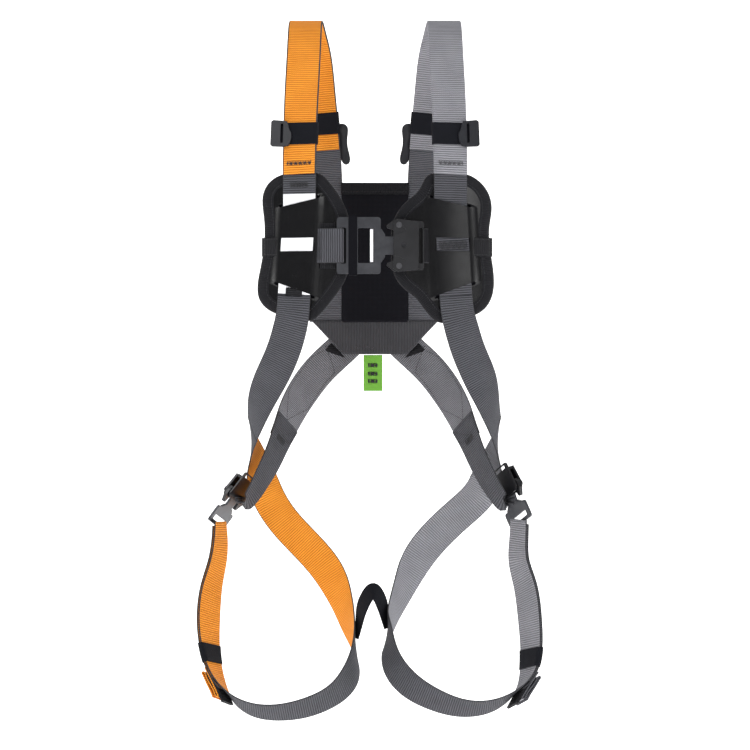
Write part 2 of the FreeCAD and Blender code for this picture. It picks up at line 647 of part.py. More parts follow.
def shoulders():
    strap = ribbon(SHOULDER, thick=SHOULDER_THICK)
    export("shoulder_strap_left", strap)
    export("shoulder_strap_right", mirrored(strap))
    face = SHOULDER_THICK / 2 + SHOULDER_KEEPER_SLACK + ELASTIC_THICK + CLIP_GAP
    frames = stations_frame(SHOULDER)
    front = station_placement(frames[FRONT_KEEPER_AT])
    rear = station_placement(frames[REAR_KEEPER_AT])
    band = keeper_band(SHOULDER_THICK, SHOULDER_KEEPER_HEIGHT, SHOULDER_KEEPER_SLACK)
    front_band = placed(band, front)
    clip = placed(clip_plate(face).mirror(V(0, 0, 0), V(0, 1, 0)), front)
    rear_band = placed(band, rear)
    rear_end = placed(rear_clip(face).mirror(V(0, 0, 0), V(0, 1, 0)), rear)
    export("front_keeper_left", front_band)
    export("front_keeper_right", mirrored(front_band))
    export("front_clip_left", clip)
    export("front_clip_right", mirrored(clip))
    export("rear_keeper_left", rear_band, rear_end)
    export("rear_keeper_right", mirrored(rear_band), mirrored(rear_end))


def tail_roll(station, lift):
    """Folded and sewn end of the leg strap's tail, as a flat stadium across the strap."""
    mid, tangent, across, normal = station
    half = ROLL_THICK / 2
    stadium = rounded_box(*ROLL_REACH, -half, half, -WEB_WIDTH / 2, WEB_WIDTH / 2, half - 0.2)
    return placed(stadium, placement(tuple(mid + normal * lift), tuple(tangent), tuple(across)))


def leg(name, stations, buckle):
    side = -1 if name == "left" else 1
    frames = stations_frame(stations)
    outer = math.copysign(1, frames[LEG_KEEPER_AT][3].x * side)
    strap = ribbon(stations)
    tail = ribbon(stations, lift=outer * TAIL_LIFT, stretch=slice(TAIL_FROM, TAIL_TO))
    roll_lift = TAIL_LIFT + WEB_THICK / 2 + ROLL_THICK / 2 + CLIP_GAP
    roll = tail_roll(frames[TAIL_ROLL_AT], outer * roll_lift)
    export("leg_strap_" + name, strap)
    export("leg_tail_" + name, tail, roll)
    where = station_placement(frames[LEG_KEEPER_AT], outer * TAIL_LIFT / 2)
    band = keeper_band(WEB_THICK + TAIL_LIFT, LEG_KEEPER_HEIGHT, LEG_KEEPER_SLACK)
    export("leg_keeper_" + name, placed(band, where))
    at = placement(*buckle)
    export("leg_male_plate_" + name, placed(male_plate(*LEG_PLATE), at))
    export("leg_female_base_" + name, placed(female_base(LEG_FEMALE), at))
    cover = female_cover(LEG_FEMALE)
    export("leg_female_cover_" + name, placed(cover, at), *[placed(rivet(s), at) for s in (-1, 1)])
    for s, word in ((side, "near"), (-side, "far")):
        export("leg_lever_" + word + "_" + name, placed(release_lever(s), at))


def legs():
    export("hip_loop_left", ribbon(HIP_LOOP_LEFT))
    export("hip_loop_right", ribbon(HIP_LOOP_RIGHT))
    export("side_strap_left", ribbon(SIDE_STRAP_LEFT))
    export("side_strap_right", ribbon(SIDE_STRAP_RIGHT))
    export("hip_strap_left", ribbon(HIP_STRAP_LEFT))
    export("hip_strap_right", ribbon(HIP_STRAP_RIGHT))
    leg("left", LEG_STRAP_LEFT, LEG_BUCKLE_LEFT)
    leg("right", LEG_STRAP_RIGHT, LEG_BUCKLE_RIGHT)
    export("crotch_link", ribbon(CROTCH_LINK, CROTCH_LINK_WIDTH, CROTCH_LINK_THICK))


os.makedirs("parts", exist_ok=True)
chest_panel(-1, PANEL_LEFT, "left")
chest_panel(1, PANEL_RIGHT, "right")
centre_buckle()
back()
dorsal()
shoulders()
legs()
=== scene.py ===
"""Looks of the full-body safety harness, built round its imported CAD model.

Shapes are worked out in millimetres from the middle of the torso (X right, Y from chest to back, Z up), as in
the CAD source, and become metres from the dorsal ring's pivot when a mesh is made.
"""

import math

import bpy
import bmesh
import numpy as np
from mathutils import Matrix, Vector


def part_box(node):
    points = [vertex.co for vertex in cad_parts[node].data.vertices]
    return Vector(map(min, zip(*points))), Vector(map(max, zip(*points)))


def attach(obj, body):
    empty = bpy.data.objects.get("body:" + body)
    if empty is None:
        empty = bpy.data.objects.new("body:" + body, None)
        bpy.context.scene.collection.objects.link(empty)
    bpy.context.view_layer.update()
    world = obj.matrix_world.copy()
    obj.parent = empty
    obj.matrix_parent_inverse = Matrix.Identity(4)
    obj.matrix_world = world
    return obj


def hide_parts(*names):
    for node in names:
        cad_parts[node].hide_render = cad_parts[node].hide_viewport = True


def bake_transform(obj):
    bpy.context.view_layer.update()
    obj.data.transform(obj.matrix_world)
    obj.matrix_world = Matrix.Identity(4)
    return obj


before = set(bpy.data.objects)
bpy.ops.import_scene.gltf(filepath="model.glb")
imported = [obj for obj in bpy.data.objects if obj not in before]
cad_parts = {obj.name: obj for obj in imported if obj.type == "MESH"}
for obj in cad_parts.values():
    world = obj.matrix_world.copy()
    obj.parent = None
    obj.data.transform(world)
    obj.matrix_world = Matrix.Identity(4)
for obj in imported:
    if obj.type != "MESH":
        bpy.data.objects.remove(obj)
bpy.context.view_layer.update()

MM = 0.001
PIVOT = np.array((0.0, 125.0, 200.0))   # the dorsal ring's pivot

WEB_WIDTH = 44.0
WEB_THICK = 1.8
SHOULDER_THICK = 3.4
CHEST_Y = -92.0
FLAT_HALF = 40.0
CHEST_RADIUS = 230.0
RIM_THICK = 9.0
RIM_WIDTH = 17.0
WEB_DEPTH = 9.2
TAIL_LIFT = 3.0
BUCKLE_Z = 164.0
BAND_WALL = 1.2
SHEET_LEVEL, SHEET_RISE = 8.3, 5.2      # depth of the glossy sheet, and its rise over the webbing
PAD_BACK, PAD_FRONT = 0.3, 6.8
PAD_SWELL, PAD_CHANNEL = 1.6, 0.9
LABEL_ENDS = (27.0, 157.0)
LOWER_BAND_Y = 92.7
LOOP_RADIUS = 6.75
FRONT_KEEPER_AT, REAR_KEEPER_AT, LEG_KEEPER_AT, ROLL_AT = 2, 11, 16, 15

PANEL_LEFT = [
    (-70, 256), (-92, 258), (-119, 256), (-136, 246), (-144, 230), (-143, 205), (-142, 172), (-147, 138),
    (-151, 113), (-149, 98), (-139, 85), (-123, 77), (-100, 72), (-81, 69), (-67, 80), (-53, 97),
    (-40, 116), (-33, 134), (-31, 164), (-33, 199), (-46, 229), (-57, 244),
]
PANEL_RIGHT = [
    (66, 253), (92, 258), (119, 256), (136, 246), (147, 230), (150, 214), (147, 190), (149, 155),
    (153, 121), (151, 103), (142, 86), (127, 76), (104, 70), (84, 66), (66, 79), (52, 97),
    (36, 110), (24, 128), (20, 164), (22, 192), (40, 221), (56, 236),
]
TOP_SLOT = (216.0, 226.0)       # height of a sheet's slots at the webbing's outer and inner edge
MIDDLE_SLOT = (157.5, 174.5)
BOTTOM_SLOT = (116.0, 100.0)
PANEL_WEB_X = (96.0, 103.0)
PANEL_WEB_ENDS = (259.0, 100.0)

# Webbing routes, as in the CAD source. A station is the middle of the webbing and the direction across it.
SHOULDER = [
    (-96, -98.8, 255, 0.97, -0.24, 0), (-96, -97, 270, 0.975, -0.2, 0),
    (-95.4, -90, 307, 0.98, -0.17, 0), (-94.8, -84.8, 333, 0.99, -0.13, 0),
    (-94, -78.5, 357, 1, -0.06, 0), (-92, -62, 406, 1, 0, 0),
    (-91, -40, 442, 1, 0, 0), (-90, -2, 463, 1, 0, 0),
    (-86, 36, 450, 1, 0, 0), (-80, 57, 424, 1, 0, 0),
    (-76, 68, 390, 1, 0, 0), (-71.3, 80, 338, 1, 0, 0),
    (-68.5, 88, 303, 1, 0, 0),
]
REAR_STRAP = [               # its top is tucked behind the shoulder strap's end
    (-69.6, 88.9, 313, 1, 0, 0), (-68.6, 90.8, 302, 1, 0, 0),
    (-66.5, 93.4, 268, 1, 0, 0), (-66, 95, 225, 1, 0, 0),
    (-66, 95, 150, 1, 0, 0), (-66, 95, 71.6, 1, 0, 0),
]
SEAT_STRAP = [
    (-33, 99, 47, 0.72, 0, -0.69), (-50, 98, 31, 0.75, 0, -0.66),
    (-73, 93, 9, 0.84, 0.1, -0.5), (-96, 84, -21, 0.79, 0.25, -0.6),
    (-112, 63, -50, 0.7, 0.6, -0.4), (-123, 42, -76, 0.55, 0.74, -0.36),
    (-128.6, 33.6, -89, 0.5, 0.77, -0.38),
]
HIP_LOOP_LEFT = [
    (-115.9, 51.2, -62.7, 0.62, 0.67, -0.38), (-122.8, 39.2, -78.6, 0.55, 0.74, -0.36),
    (-135, 22, -109, 0.45, 0.8, -0.4), (-149.5, 6, -138, 0.4, 0.87, -0.3),
    (-165.4, -3.2, -163.8, 0.37, 0.9, -0.17), (-171.5, -5.5, -168, 0.33, 0.92, -0.2),
    (-175.5, -5.5, -165.5, 0.28, 0.93, -0.22), (-177, -5, -160, 0.25, 0.93, -0.25),
]
HIP_LOOP_RIGHT = [
    (115.9, 51.2, -62.7, -0.62, 0.67, -0.38), (122.8, 39.2, -78.6, -0.55, 0.74, -0.36),
    (135, 22, -109, -0.47, 0.8, -0.38), (149.5, 5, -139, -0.46, 0.86, -0.24),
    (166.0, -4.2, -165, -0.45, 0.887, -0.12), (171.5, -6.5, -169, -0.42, 0.9, -0.12),
    (174.5, -6.5, -166, -0.42, 0.9, -0.12), (174, -5.5, -160, -0.42, 0.9, -0.12),
]
SIDE_STRAP_LEFT = [
    (-102.9, -93.9, 100.6, 0.97, -0.25, 0), (-105, -94.3, 76, 0.97, -0.23, 0),
    (-109, -90.5, 57, 0.97, -0.18, -0.08), (-115, -83, 37, 0.96, -0.15, -0.2),
    (-126, -72, 11, 0.93, -0.12, -0.34), (-141, -54, -18, 0.82, -0.36, -0.44),
    (-153, -34, -46, 0.58, -0.6, -0.54), (-160, -12, -69, 0.32, -0.75, -0.58),
]
SIDE_STRAP_RIGHT = [
    (102.9, -93.9, 100.6, -0.97, -0.25, 0), (106, -94.3, 76, -0.97, -0.23, 0),
    (111, -90.5, 57, -0.97, -0.18, -0.08), (118, -83, 35, -0.96, -0.15, -0.2),
    (130, -71, 7, -0.95, -0.12, -0.3), (143, -54, -23, -0.76, -0.52, -0.4),
    (152, -34, -48, -0.48, -0.7, -0.53), (159, -12, -69, -0.3, -0.77, -0.56),
]
HIP_STRAP_LEFT = [
    (-160.2, -10.8, -70, 0.32, -0.75, -0.58), (-162, 8, -86, 0.05, -0.8, -0.6),
    (-160, 30, -104, -0.3, -0.62, -0.72), (-153.7, 51.5, -131.7, -0.58, -0.25, -0.76),
    (-147.4, 58.1, -150.2, -0.64, -0.15, -0.74),
]
HIP_STRAP_RIGHT = [
    (159.2, -10.8, -70, -0.3, -0.77, -0.56), (161, 8, -86, -0.05, -0.8, -0.6),
    (159, 30, -104, 0.3, -0.62, -0.72), (152.7, 51.6, -129.7, 0.58, -0.25, -0.76),
    (145.5, 58.4, -146.7, 0.64, -0.15, -0.74),
]
LEG_STRAP_LEFT = [
    (-152.6, 50.9, -133.4, -0.58, -0.25, -0.76), (-142, 61, -164, -0.7, -0.05, -0.7),
    (-122, 67, -196, -0.72, 0, -0.69), (-90, 70, -231, -0.72, 0, -0.69),
    (-64, 66, -262, -0.72, 0.15, -0.67), (-45, 50, -298, -0.6, 0.55, -0.58),
    (-35, 26, -325, -0.4, 0.83, -0.38), (-28, 0, -344, -0.15, 0.9, -0.4),
    (-25, -28, -360, 0.13, 0.87, -0.47), (-31, -54, -386, 0.42, 0.75, -0.5),
    (-52, -71, -409, 0.41, 0.75, -0.52), (-84, -79, -424, 0.28, 0.76, -0.6),
    (-120, -81, -431, 0.13, 0.8, -0.58), (-154, -78, -429, 0.02, 0.85, -0.52),
    (-181, -72, -416, 0.1, 0.9, -0.43), (-199, -62, -394, 0.33, 0.86, -0.38),
    (-211, -49, -360, 0.46, 0.84, -0.26), (-215, -35, -320, 0.55, 0.84, -0.05),
    (-211, -18, -272, 0.5, 0.86, 0.05), (-204.5, -10, -242, 0.42, 0.9, -0.06),
    (-202, -7, -215, 0.34, 0.92, -0.15), (-202.5, -5.5, -192, 0.26, 0.92, -0.24),
]
LEG_STRAP_RIGHT = [
    (151.6, 50.9, -131.4, 0.58, -0.25, -0.76), (140, 61, -158, 0.7, -0.05, -0.7),
    (117, 67, -182, 0.7, 0, -0.7), (84, 70, -213, 0.71, 0, -0.7),
    (58, 66, -245, 0.72, 0.2, -0.65), (38, 50, -283, 0.56, 0.62, -0.52),
    (26, 26, -308, 0.36, 0.85, -0.36), (18.5, 0, -328, 0.15, 0.92, -0.36),
    (16, -28, -345, -0.25, 0.88, -0.4), (22, -54, -371, -0.5, 0.7, -0.5),
    (43, -71, -396, -0.5, 0.62, -0.6), (74, -79, -414, -0.33, 0.68, -0.65),
    (108, -81, -425, -0.12, 0.77, -0.62), (143, -78, -425, 0.03, 0.86, -0.5),
    (171, -72, -414, -0.1, 0.91, -0.4), (190, -62, -397, -0.33, 0.87, -0.38),
    (200, -49, -366, -0.5, 0.83, -0.26), (200, -35, -318, -0.58, 0.8, -0.14),
    (194, -18, -272, -0.56, 0.82, -0.08), (187, -10, -243, -0.5, 0.86, -0.08),
    (187, -8.5, -214, -0.44, 0.89, -0.1), (188, -8, -189, -0.42, 0.9, -0.12),
]
CROTCH_LINK = [
    (-24.6, -6, -345, 0.1, -0.9, -0.42), (-20, -5, -320, 0.3, -0.85, -0.44),
    (-14, -5, -297, 0.35, -0.72, -0.6), (-2, -6, -283, 0, -0.65, -0.76),
    (8, -5, -297, -0.35, -0.72, -0.6), (12, -5, -314, -0.3, -0.85, -0.44),
    (15.2, -6, -332, -0.1, -0.9, -0.42),
]


def mirror(stations):
    return [(-x, y, z, -across, *rest) for x, y, z, across, *rest in stations]


SHOULDER_PAIR = (("left", SHOULDER, "orange", "edge", "thread"),
                 ("right", mirror(SHOULDER), "light", "light", "thread_grey"))
REAR_PAIR = (("left", REAR_STRAP), ("right", mirror(REAR_STRAP)))
SEAT_PAIR = (("left", SEAT_STRAP), ("right", mirror(SEAT_STRAP)))
HIP_PAIR = (("left", SIDE_STRAP_LEFT, HIP_STRAP_LEFT, HIP_LOOP_LEFT, "orange"),
            ("right", SIDE_STRAP_RIGHT, HIP_STRAP_RIGHT, HIP_LOOP_RIGHT, "light"))
LEG_PAIR = (("left", LEG_STRAP_LEFT, "orange", "orange"), ("right", LEG_STRAP_RIGHT, "light", "mid"))


# ---- materials ----


class Nodes:
    """A material's node tree, with short calls for the nodes used here."""

    def __init__(self, name, roughness, metallic=0.0, specular=0.5):
        self.material = bpy.data.materials.new(name)
        self.material.use_nodes = True
        self.tree = self.material.node_tree
        self.shader = self.tree.nodes["Principled BSDF"]
        self.shader.inputs["Roughness"].default_value = roughness
        self.shader.inputs["Metallic"].default_value = metallic
        self.shader.inputs["Specular IOR Level"].default_value = specular

    def link(self, value, socket):
        if isinstance(value, bpy.types.NodeSocket):
            self.tree.links.new(value, socket)
        else:
            socket.default_value = value

    def node(self, kind, inputs=(), output=0, **settings):
        """Output of a new node, with settings on the node and values or links at its inputs."""
        node = self.tree.nodes.new("ShaderNode" + kind)
        for name, value in settings.items():
            setattr(node, name, value)
        for name, value in dict(inputs).items():
            self.link(value, node.inputs[name])
        return node.outputs[output]

    def math(self, operation, a, b=0.0, clamp=False):
        return self.node("Math", {0: a, 1: b}, operation=operation, use_clamp=clamp)

    def uv(self):
        """Distance across and along the piece, in millimetres."""
        place = self.node("UVMap")
        return [self.node("SeparateXYZ", {0: place}, axis) for axis in (0, 1)]

    def noise(self, scale, detail=2.0):
        place = self.node("TexCoord", output="Object")
        return self.node("TexNoise", {"Vector": place, "Scale": scale, "Detail": detail}, "Fac")

    def wave(self, value, pitch, power):
        """1 on each rib, falling to 0 in the groove between two ribs."""
        turn = self.math("MULTIPLY", value, math.pi / pitch)
        groove = self.math("POWER", self.math("ABSOLUTE", self.math("COSINE", turn)), power)
        return self.math("SUBTRACT", 1.0, groove)

    def remap(self, value, low, high):
        return self.node("MapRange", {"Value": value, "To Min": low, "To Max": high}, "Result")

    def colour(self, factor, dark, light):
        return self.node("Mix", {"Factor": factor, 6: (*dark, 1.0), 7: (*light, 1.0)}, 2, data_type="RGBA")

    def finish(self, colour, height, distance, strength, roughness=None):
        """Links the shader's colour, relief and roughness."""
        normal = self.node("Bump", {"Distance": distance, "Strength": strength, "Height": height})
        self.link(colour, self.shader.inputs["Base Color"])
        self.link(normal, self.shader.inputs["Normal"])
        if roughness is not None:
            self.link(roughness, self.shader.inputs["Roughness"])
        return self.material


def webbing_material(name, dark, light, pitch=2.9, depth=0.0011):
    """Ribs across the webbing, each with the small steps of its warp yarns."""
    g = Nodes(name, 0.75, specular=0.22)
    across, along = g.uv()
    yarn = g.wave(across, 1.25, 4.0)
    stagger = g.math("MULTIPLY", g.math("SINE", g.math("MULTIPLY", across, math.pi / 1.25)), 0.16)
    wander = g.math("MULTIPLY", g.math("SUBTRACT", g.noise(130.0, 3.0), 0.5), 0.9)
    rib = g.wave(g.math("ADD", along, g.math("ADD", stagger, wander)), pitch, 5.0)
    height = g.math("ADD", g.math("MULTIPLY", rib, 0.8), g.math("MULTIPLY", yarn, 0.2))
    patch = g.math("MULTIPLY", g.math("SUBTRACT", g.noise(35.0), 0.5), 0.35)
    tone = g.math("ADD", height, patch, clamp=True)
    return g.finish(g.colour(tone, dark, light), height, depth, 1.0)


def elastic_material(name, dark, light, pitch=1.0):
    """Fine ribs along the band and a close knit between them."""
    g = Nodes(name, 0.85, specular=0.15)
    across, along = g.uv()
    rib = g.wave(across, pitch, 3.0)
    knit = g.wave(along, 1.4, 3.0)
    height = g.math("ADD", g.math("MULTIPLY", rib, 0.6), g.math("MULTIPLY", knit, 0.4))
    tone = g.math("MULTIPLY", height, g.remap(g.noise(60.0), 0.7, 1.2), clamp=True)
    return g.finish(g.colour(tone, dark, light), height, 0.0003, 0.6)


def mesh_material(name, dark, light):
    """Padded textile: a fine open knit over soft unevenness."""
    g = Nodes(name, 0.9, specular=0.12)
    across, along = g.uv()
    knit = g.math("MULTIPLY", g.wave(across, 1.7, 2.0), g.wave(along, 1.7, 2.0))
    height = g.math("ADD", g.math("MULTIPLY", knit, 0.5), g.math("MULTIPLY", g.noise(45.0), 0.9))
    return g.finish(g.colour(g.math("MULTIPLY", knit, g.remap(g.noise(25.0), 0.6, 1.1)), dark, light),
                    height, 0.0006, 0.5)


def sheet_material(name):
    """Smooth black plastic sheet with a slight orange peel."""
    g = Nodes(name, 0.25, specular=0.28)
    g.shader.inputs["Coat Weight"].default_value = 0.12
    g.shader.inputs["Coat Roughness"].default_value = 0.22
    wave = g.noise(30.0, 1.0)
    tone = g.colour(g.noise(12.0), (0.001, 0.001, 0.0015), (0.003, 0.003, 0.004))
    return g.finish(tone, g.math("ADD", wave, g.math("MULTIPLY", g.noise(900.0), 0.05)), 0.0012, 0.35,
                    g.remap(g.noise(70.0), 0.2, 0.3))


def metal_material(name, dark, light, roughness, metallic, grain=700.0):
    """Coated or bare metal with fine grain and faint scuffs."""
    g = Nodes(name, roughness[0], metallic)
    scuff = g.noise(90.0, 6.0)
    height = g.math("ADD", g.math("MULTIPLY", g.noise(grain), 0.4), g.math("MULTIPLY", scuff, 0.3))
    return g.finish(g.colour(scuff, dark, light), height, 0.00012, 0.35, g.remap(scuff, *roughness))


def plastic_material(name, dark, light):
    """Moulded plastic with a fine spark-eroded grain."""
    g = Nodes(name, 0.45, specular=0.35)
    grain = g.noise(1500.0, 3.0)
    return g.finish(g.colour(g.noise(50.0), dark, light), grain, 0.00008, 0.4, g.remap(grain, 0.38, 0.55))


def label_and_highlight_material(name):
    """Smooth white label; the same white also paints the highlight down the male plate's window."""
    g = Nodes(name, 0.45)
    tone = g.colour(g.noise(40.0), (0.84, 0.85, 0.88), (0.93, 0.93, 0.95))
    return g.finish(tone, g.noise(55.0, 1.0), 0.0008, 0.3)


def thread_material(name, dark, light):
    """Twisted sewing thread; the twist runs across each stitch."""
    g = Nodes(name, 0.6)
    across, along = g.uv()
    twist = g.wave(g.math("ADD", across, along), 0.45, 2.0)
    return g.finish(g.colour(twist, dark, light), twist, 0.0001, 0.5)


# Each row is a look: its name, its slot, its material, two colours and what that kind of material also needs.
WOVEN = (
    ("orange", "webbing_orange", "webbing_orange_woven", (0.55, 0.13, 0.008), (0.95, 0.36, 0.035)),
    ("light", "webbing_light_grey", "webbing_light_grey_woven", (0.10, 0.10, 0.112), (0.33, 0.33, 0.36)),
    ("dark", "webbing_dark_grey", "webbing_dark_grey_woven", (0.014, 0.014, 0.018), (0.094, 0.095, 0.108)),
    ("mid", "webbing_dark_grey", "webbing_mid_grey_woven", (0.022, 0.022, 0.027), (0.145, 0.147, 0.165), 2.4),
    ("seat", "webbing_dark_grey", "webbing_seat_woven", (0.03, 0.03, 0.035), (0.26, 0.26, 0.285), 2.4),
    ("edge", "webbing_dark_grey", "webbing_selvedge", (0.02, 0.02, 0.024), (0.06, 0.06, 0.066), 1.9, 0.0008),
    ("band", "webbing_dark_grey", "webbing_band_woven", (0.03, 0.03, 0.035), (0.08, 0.08, 0.088), 2.1),
    # black woven webbing; its black also paints the shadows under the left centre tab and where a seat strap
    # leaves the lower band
    ("black", "webbing_dark_grey", "webbing_black_woven", (0.003, 0.003, 0.004), (0.014, 0.014, 0.017), 2.6),
    ("binding", "binding", "binding_ribbed", (0.002, 0.002, 0.003), (0.010, 0.010, 0.013), 2.3, 0.0007),
    ("green", "tag_green", "tag_green_woven", (0.10, 0.34, 0.035), (0.23, 0.55, 0.075), 1.2, 0.0002),
)
METAL = (
    ("black_metal", "metal_black", "metal_black_coated", (0.004, 0.004, 0.005), (0.012, 0.012, 0.015),
     (0.3, 0.42), 0.15),
    ("plate_metal", "metal_black", "metal_plate_coated", (0.035, 0.036, 0.042), (0.075, 0.077, 0.086),
     (0.26, 0.38), 0.6),
    ("rivet", "steel", "rivet_dark_steel", (0.05, 0.05, 0.055), (0.12, 0.12, 0.13), (0.3, 0.45), 0.9),
    ("steel", "steel", "steel_polished", (0.42, 0.42, 0.43), (0.68, 0.68, 0.69), (0.2, 0.36), 1.0),
)
THREAD = (
    ("thread", "binding", "thread_dark", (0.008, 0.008, 0.010), (0.035, 0.035, 0.04)),
    ("thread_grey", "webbing_dark_grey", "thread_grey", (0.03, 0.03, 0.034), (0.11, 0.11, 0.12)),
)
ELASTIC = (("elastic", "elastic", "elastic_knit", (0.002, 0.002, 0.004), (0.009, 0.010, 0.014)),)
PADDING = (("pad", "panel_fabric", "pad_textile", (0.004, 0.004, 0.006), (0.016, 0.016, 0.021)),)
PLASTIC = (("plastic", "plastic_black", "plastic_moulded", (0.005, 0.0055, 0.008), (0.013, 0.0145, 0.020)),)
LOOKS = {
    "sheet": ("panel_sheet", sheet_material("panel_sheet_gloss")),
    "label": ("label_white", label_and_highlight_material("label_white_and_highlight")),
}
for maker, table in ((webbing_material, WOVEN), (metal_material, METAL), (thread_material, THREAD),
                     (elastic_material, ELASTIC), (mesh_material, PADDING), (plastic_material, PLASTIC)):
    for look_name, slot_name, *arguments in table:
        LOOKS[look_name] = (slot_name, maker(*arguments))
# ---- meshes ----

DARK_WEB = ["dark", "dark", "edge"]


def add_object(name, data, place=(0, 0, 0)):
    obj = bpy.data.objects.new(name, data)
    obj.location = place
    bpy.context.scene.collection.objects.link(obj)
    return obj


def make(name, points, faces, looks, body=None, replaces=(), uvs=None, looks_of=None):
    """Mesh object from torso millimetres. uvs has a list per face, looks_of each face's place in looks."""
    mesh = bpy.data.meshes.new(name)
    mesh.from_pydata(((np.asarray(points, float) - PIVOT) * MM).tolist(), [], faces)
    for look in looks:
        mesh.materials.append(LOOKS[look][1])
    if looks_of is not None:
        mesh.polygons.foreach_set("material_index", looks_of)
    layer = mesh.uv_layers.new(name="UVMap")
    if uvs is not None:
        layer.data.foreach_set("uv", np.concatenate([np.asarray(u, float) for u in uvs]).ravel())
    mesh.polygons.foreach_set("use_smooth", [True] * len(mesh.polygons))
    mesh.validate()
    obj = add_object(name, mesh)
    if replaces:
        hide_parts(*replaces)
    if body is not None:
        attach(obj, body)
    return obj


def skin(rings, across, along):
    """Quads between closed rings of points, and their UVs. across has the first point's place once more at
    its end, and so has along where the last ring joins the first."""
    count = len(across) - 1
    faces, uvs = [], []
    for i in range(len(along) - 1):
        for j in range(count):
            corners = [(i, j), (i, j + 1), (i + 1, j + 1), (i + 1, j)]
            faces.append([r % rings * count + c % count for r, c in corners])
            uvs.append([(across[c], along[r]) for r, c in corners])
    return faces, uvs


def turned(lists):
    """Each face, or each face's UVs, the other way round."""
    return [entries[::-1] for entries in lists]


def ring_ends(rings, count):
    """The first and the last ring as faces."""
    last = (rings - 1) * count
    return [list(range(count))[::-1], list(range(last, last + count))]


def flat_uvs(points, faces, across=0, along=2):
    """UVs of a flat piece: the places of its corners, in millimetres."""
    return [[(points[v][across], points[v][along]) for v in f] for f in faces]


def fix_normals(obj):
    shell = bmesh.new()
    shell.from_mesh(obj.data)
    bmesh.ops.recalc_face_normals(shell, faces=shell.faces)
    shell.to_mesh(obj.data)
    shell.free()


def run_lengths(places):
    """Distance along a line of places, at each of them."""
    return np.concatenate([[0], np.cumsum(np.linalg.norm(np.diff(places, axis=0), axis=1))])


def round_lengths(outline):
    """Distance round a closed outline at each point, and once more at the first."""
    return run_lengths(np.array([p[:2] for p in outline + outline[:1]], float))


def natural_spline(values, step):
    """Natural cubic spline through rows of values (the first three are a place), sampled every step."""
    values = np.asarray(values, float)
    knots = run_lengths(values[:, :3])
    n = len(knots)
    h = np.diff(knots)
    system = np.eye(n)
    right = np.zeros((n, values.shape[1]))
    for i in range(1, n - 1):
        system[i, i - 1:i + 2] = h[i - 1], 2 * (h[i - 1] + h[i]), h[i]
        right[i] = 6 * ((values[i + 1] - values[i]) / h[i] - (values[i] - values[i - 1]) / h[i - 1])
    second = np.linalg.solve(system, right)
    where = np.linspace(0, knots[-1], max(int(knots[-1] / step), 3) + 1)
    i = np.clip(np.searchsorted(knots, where, side="right") - 1, 0, n - 2)
    a = ((knots[i + 1] - where) / h[i])[:, None]
    b = 1 - a
    bend = ((a ** 3 - a) * second[i] + (b ** 3 - b) * second[i + 1]) * (h[i] ** 2)[:, None] / 6
    return where, a * values[i] + b * values[i + 1] + bend


def unit(v):
    v = np.asarray(v, float)
    return v / np.linalg.norm(v, axis=-1, keepdims=True)


class Route:
    """A strap's route, sampled closely: mid, tangent, across and normal directions and the distance along."""

    def __init__(self, stations, step=2.5):
        rows = np.array(stations, float)
        rows[:, 3:] = unit(rows[:, 3:])
        self.along, values = natural_spline(rows, step)
        self.mid = values[:, :3]
        self.tangent = unit(np.gradient(self.mid, self.along, axis=0))
        across = values[:, 3:]
        self.across = unit(across - self.tangent * (across * self.tangent).sum(1)[:, None])
        self.normal = np.cross(self.tangent, self.across)
        self.knots = run_lengths(rows[:, :3])

    def at(self, s, a=0.0, n=0.0):
        """Point at distance s along, a across and n off the route."""
        mid, across, normal = (np.array([np.interp(s, self.along, field[:, k]) for k in range(3)])
                               for field in (self.mid, self.across, self.normal))
        return mid + a * unit(across) + n * unit(normal)

    def cut(self, start, end):
        """The stretch between two distances."""
        part = Route.__new__(Route)
        keep = (self.along >= start - 1e-6) & (self.along <= end + 1e-6)
        for field in ("along", "mid", "tangent", "across", "normal"):
            setattr(part, field, getattr(self, field)[keep])
        part.knots = self.knots
        return part

    def sample(self, s):
        """Number of the sample nearest to a distance along."""
        return int(np.argmin(abs(self.along - s)))

    def facing(self, i, direction=(0, -1, 0)):
        """Which side of the webbing, +1 or -1, faces a direction at a sample."""
        return 1 if self.normal[i] @ np.array(direction) > 0 else -1


def section(width, thick, crown=0.0, columns=14):
    """Outline of webbing's section with full round edges: (a, n, side); side 0 is +n, 1 is -n, 2 an edge."""
    half, r = width / 2, thick / 2
    rows = []
    for side, sign in ((0, 1), (1, -1)):
        for i in range(columns + 1):
            a = sign * (half - r) * (1 - 2 * i / columns)
            rows.append((a, sign * (r + crown * (1 - (a / half) ** 2)), side))
        for angle in (45, 90, 135):
            c, s = math.cos(math.radians(angle)), math.sin(math.radians(angle))
            rows.append((-sign * (half - r + r * s), sign * r * c, 2))
    return rows


def strap(name, route, looks, body, replaces=(), width=WEB_WIDTH, thick=WEB_THICK, lift=0.0):
    """Webbing along a route. looks are the +normal face, the -normal face and the edges, or one for all."""
    rows = section(width, thick)
    count, rings = len(rows), len(route.along)
    a, n, side = np.array(rows).T
    points = (route.mid[:, None] + route.across[:, None] * a[None, :, None]
              + route.normal[:, None] * (n + lift)[None, :, None])
    around = a + n * (side == 2)
    faces, uvs = skin(rings, [*around, around[0]], route.along)
    sides = [int(here) if here == after else 2 for here, after in zip(side, [*side[1:], side[0]])]
    for ring in ring_ends(rings, count):
        faces.append(ring)
        uvs.append([(around[j % count], n[j % count]) for j in ring])
    looks = [looks] * 3 if isinstance(looks, str) else looks
    return make(name, points.reshape(-1, 3), faces, looks, body, replaces, uvs, sides * (rings - 1) + [2, 2])


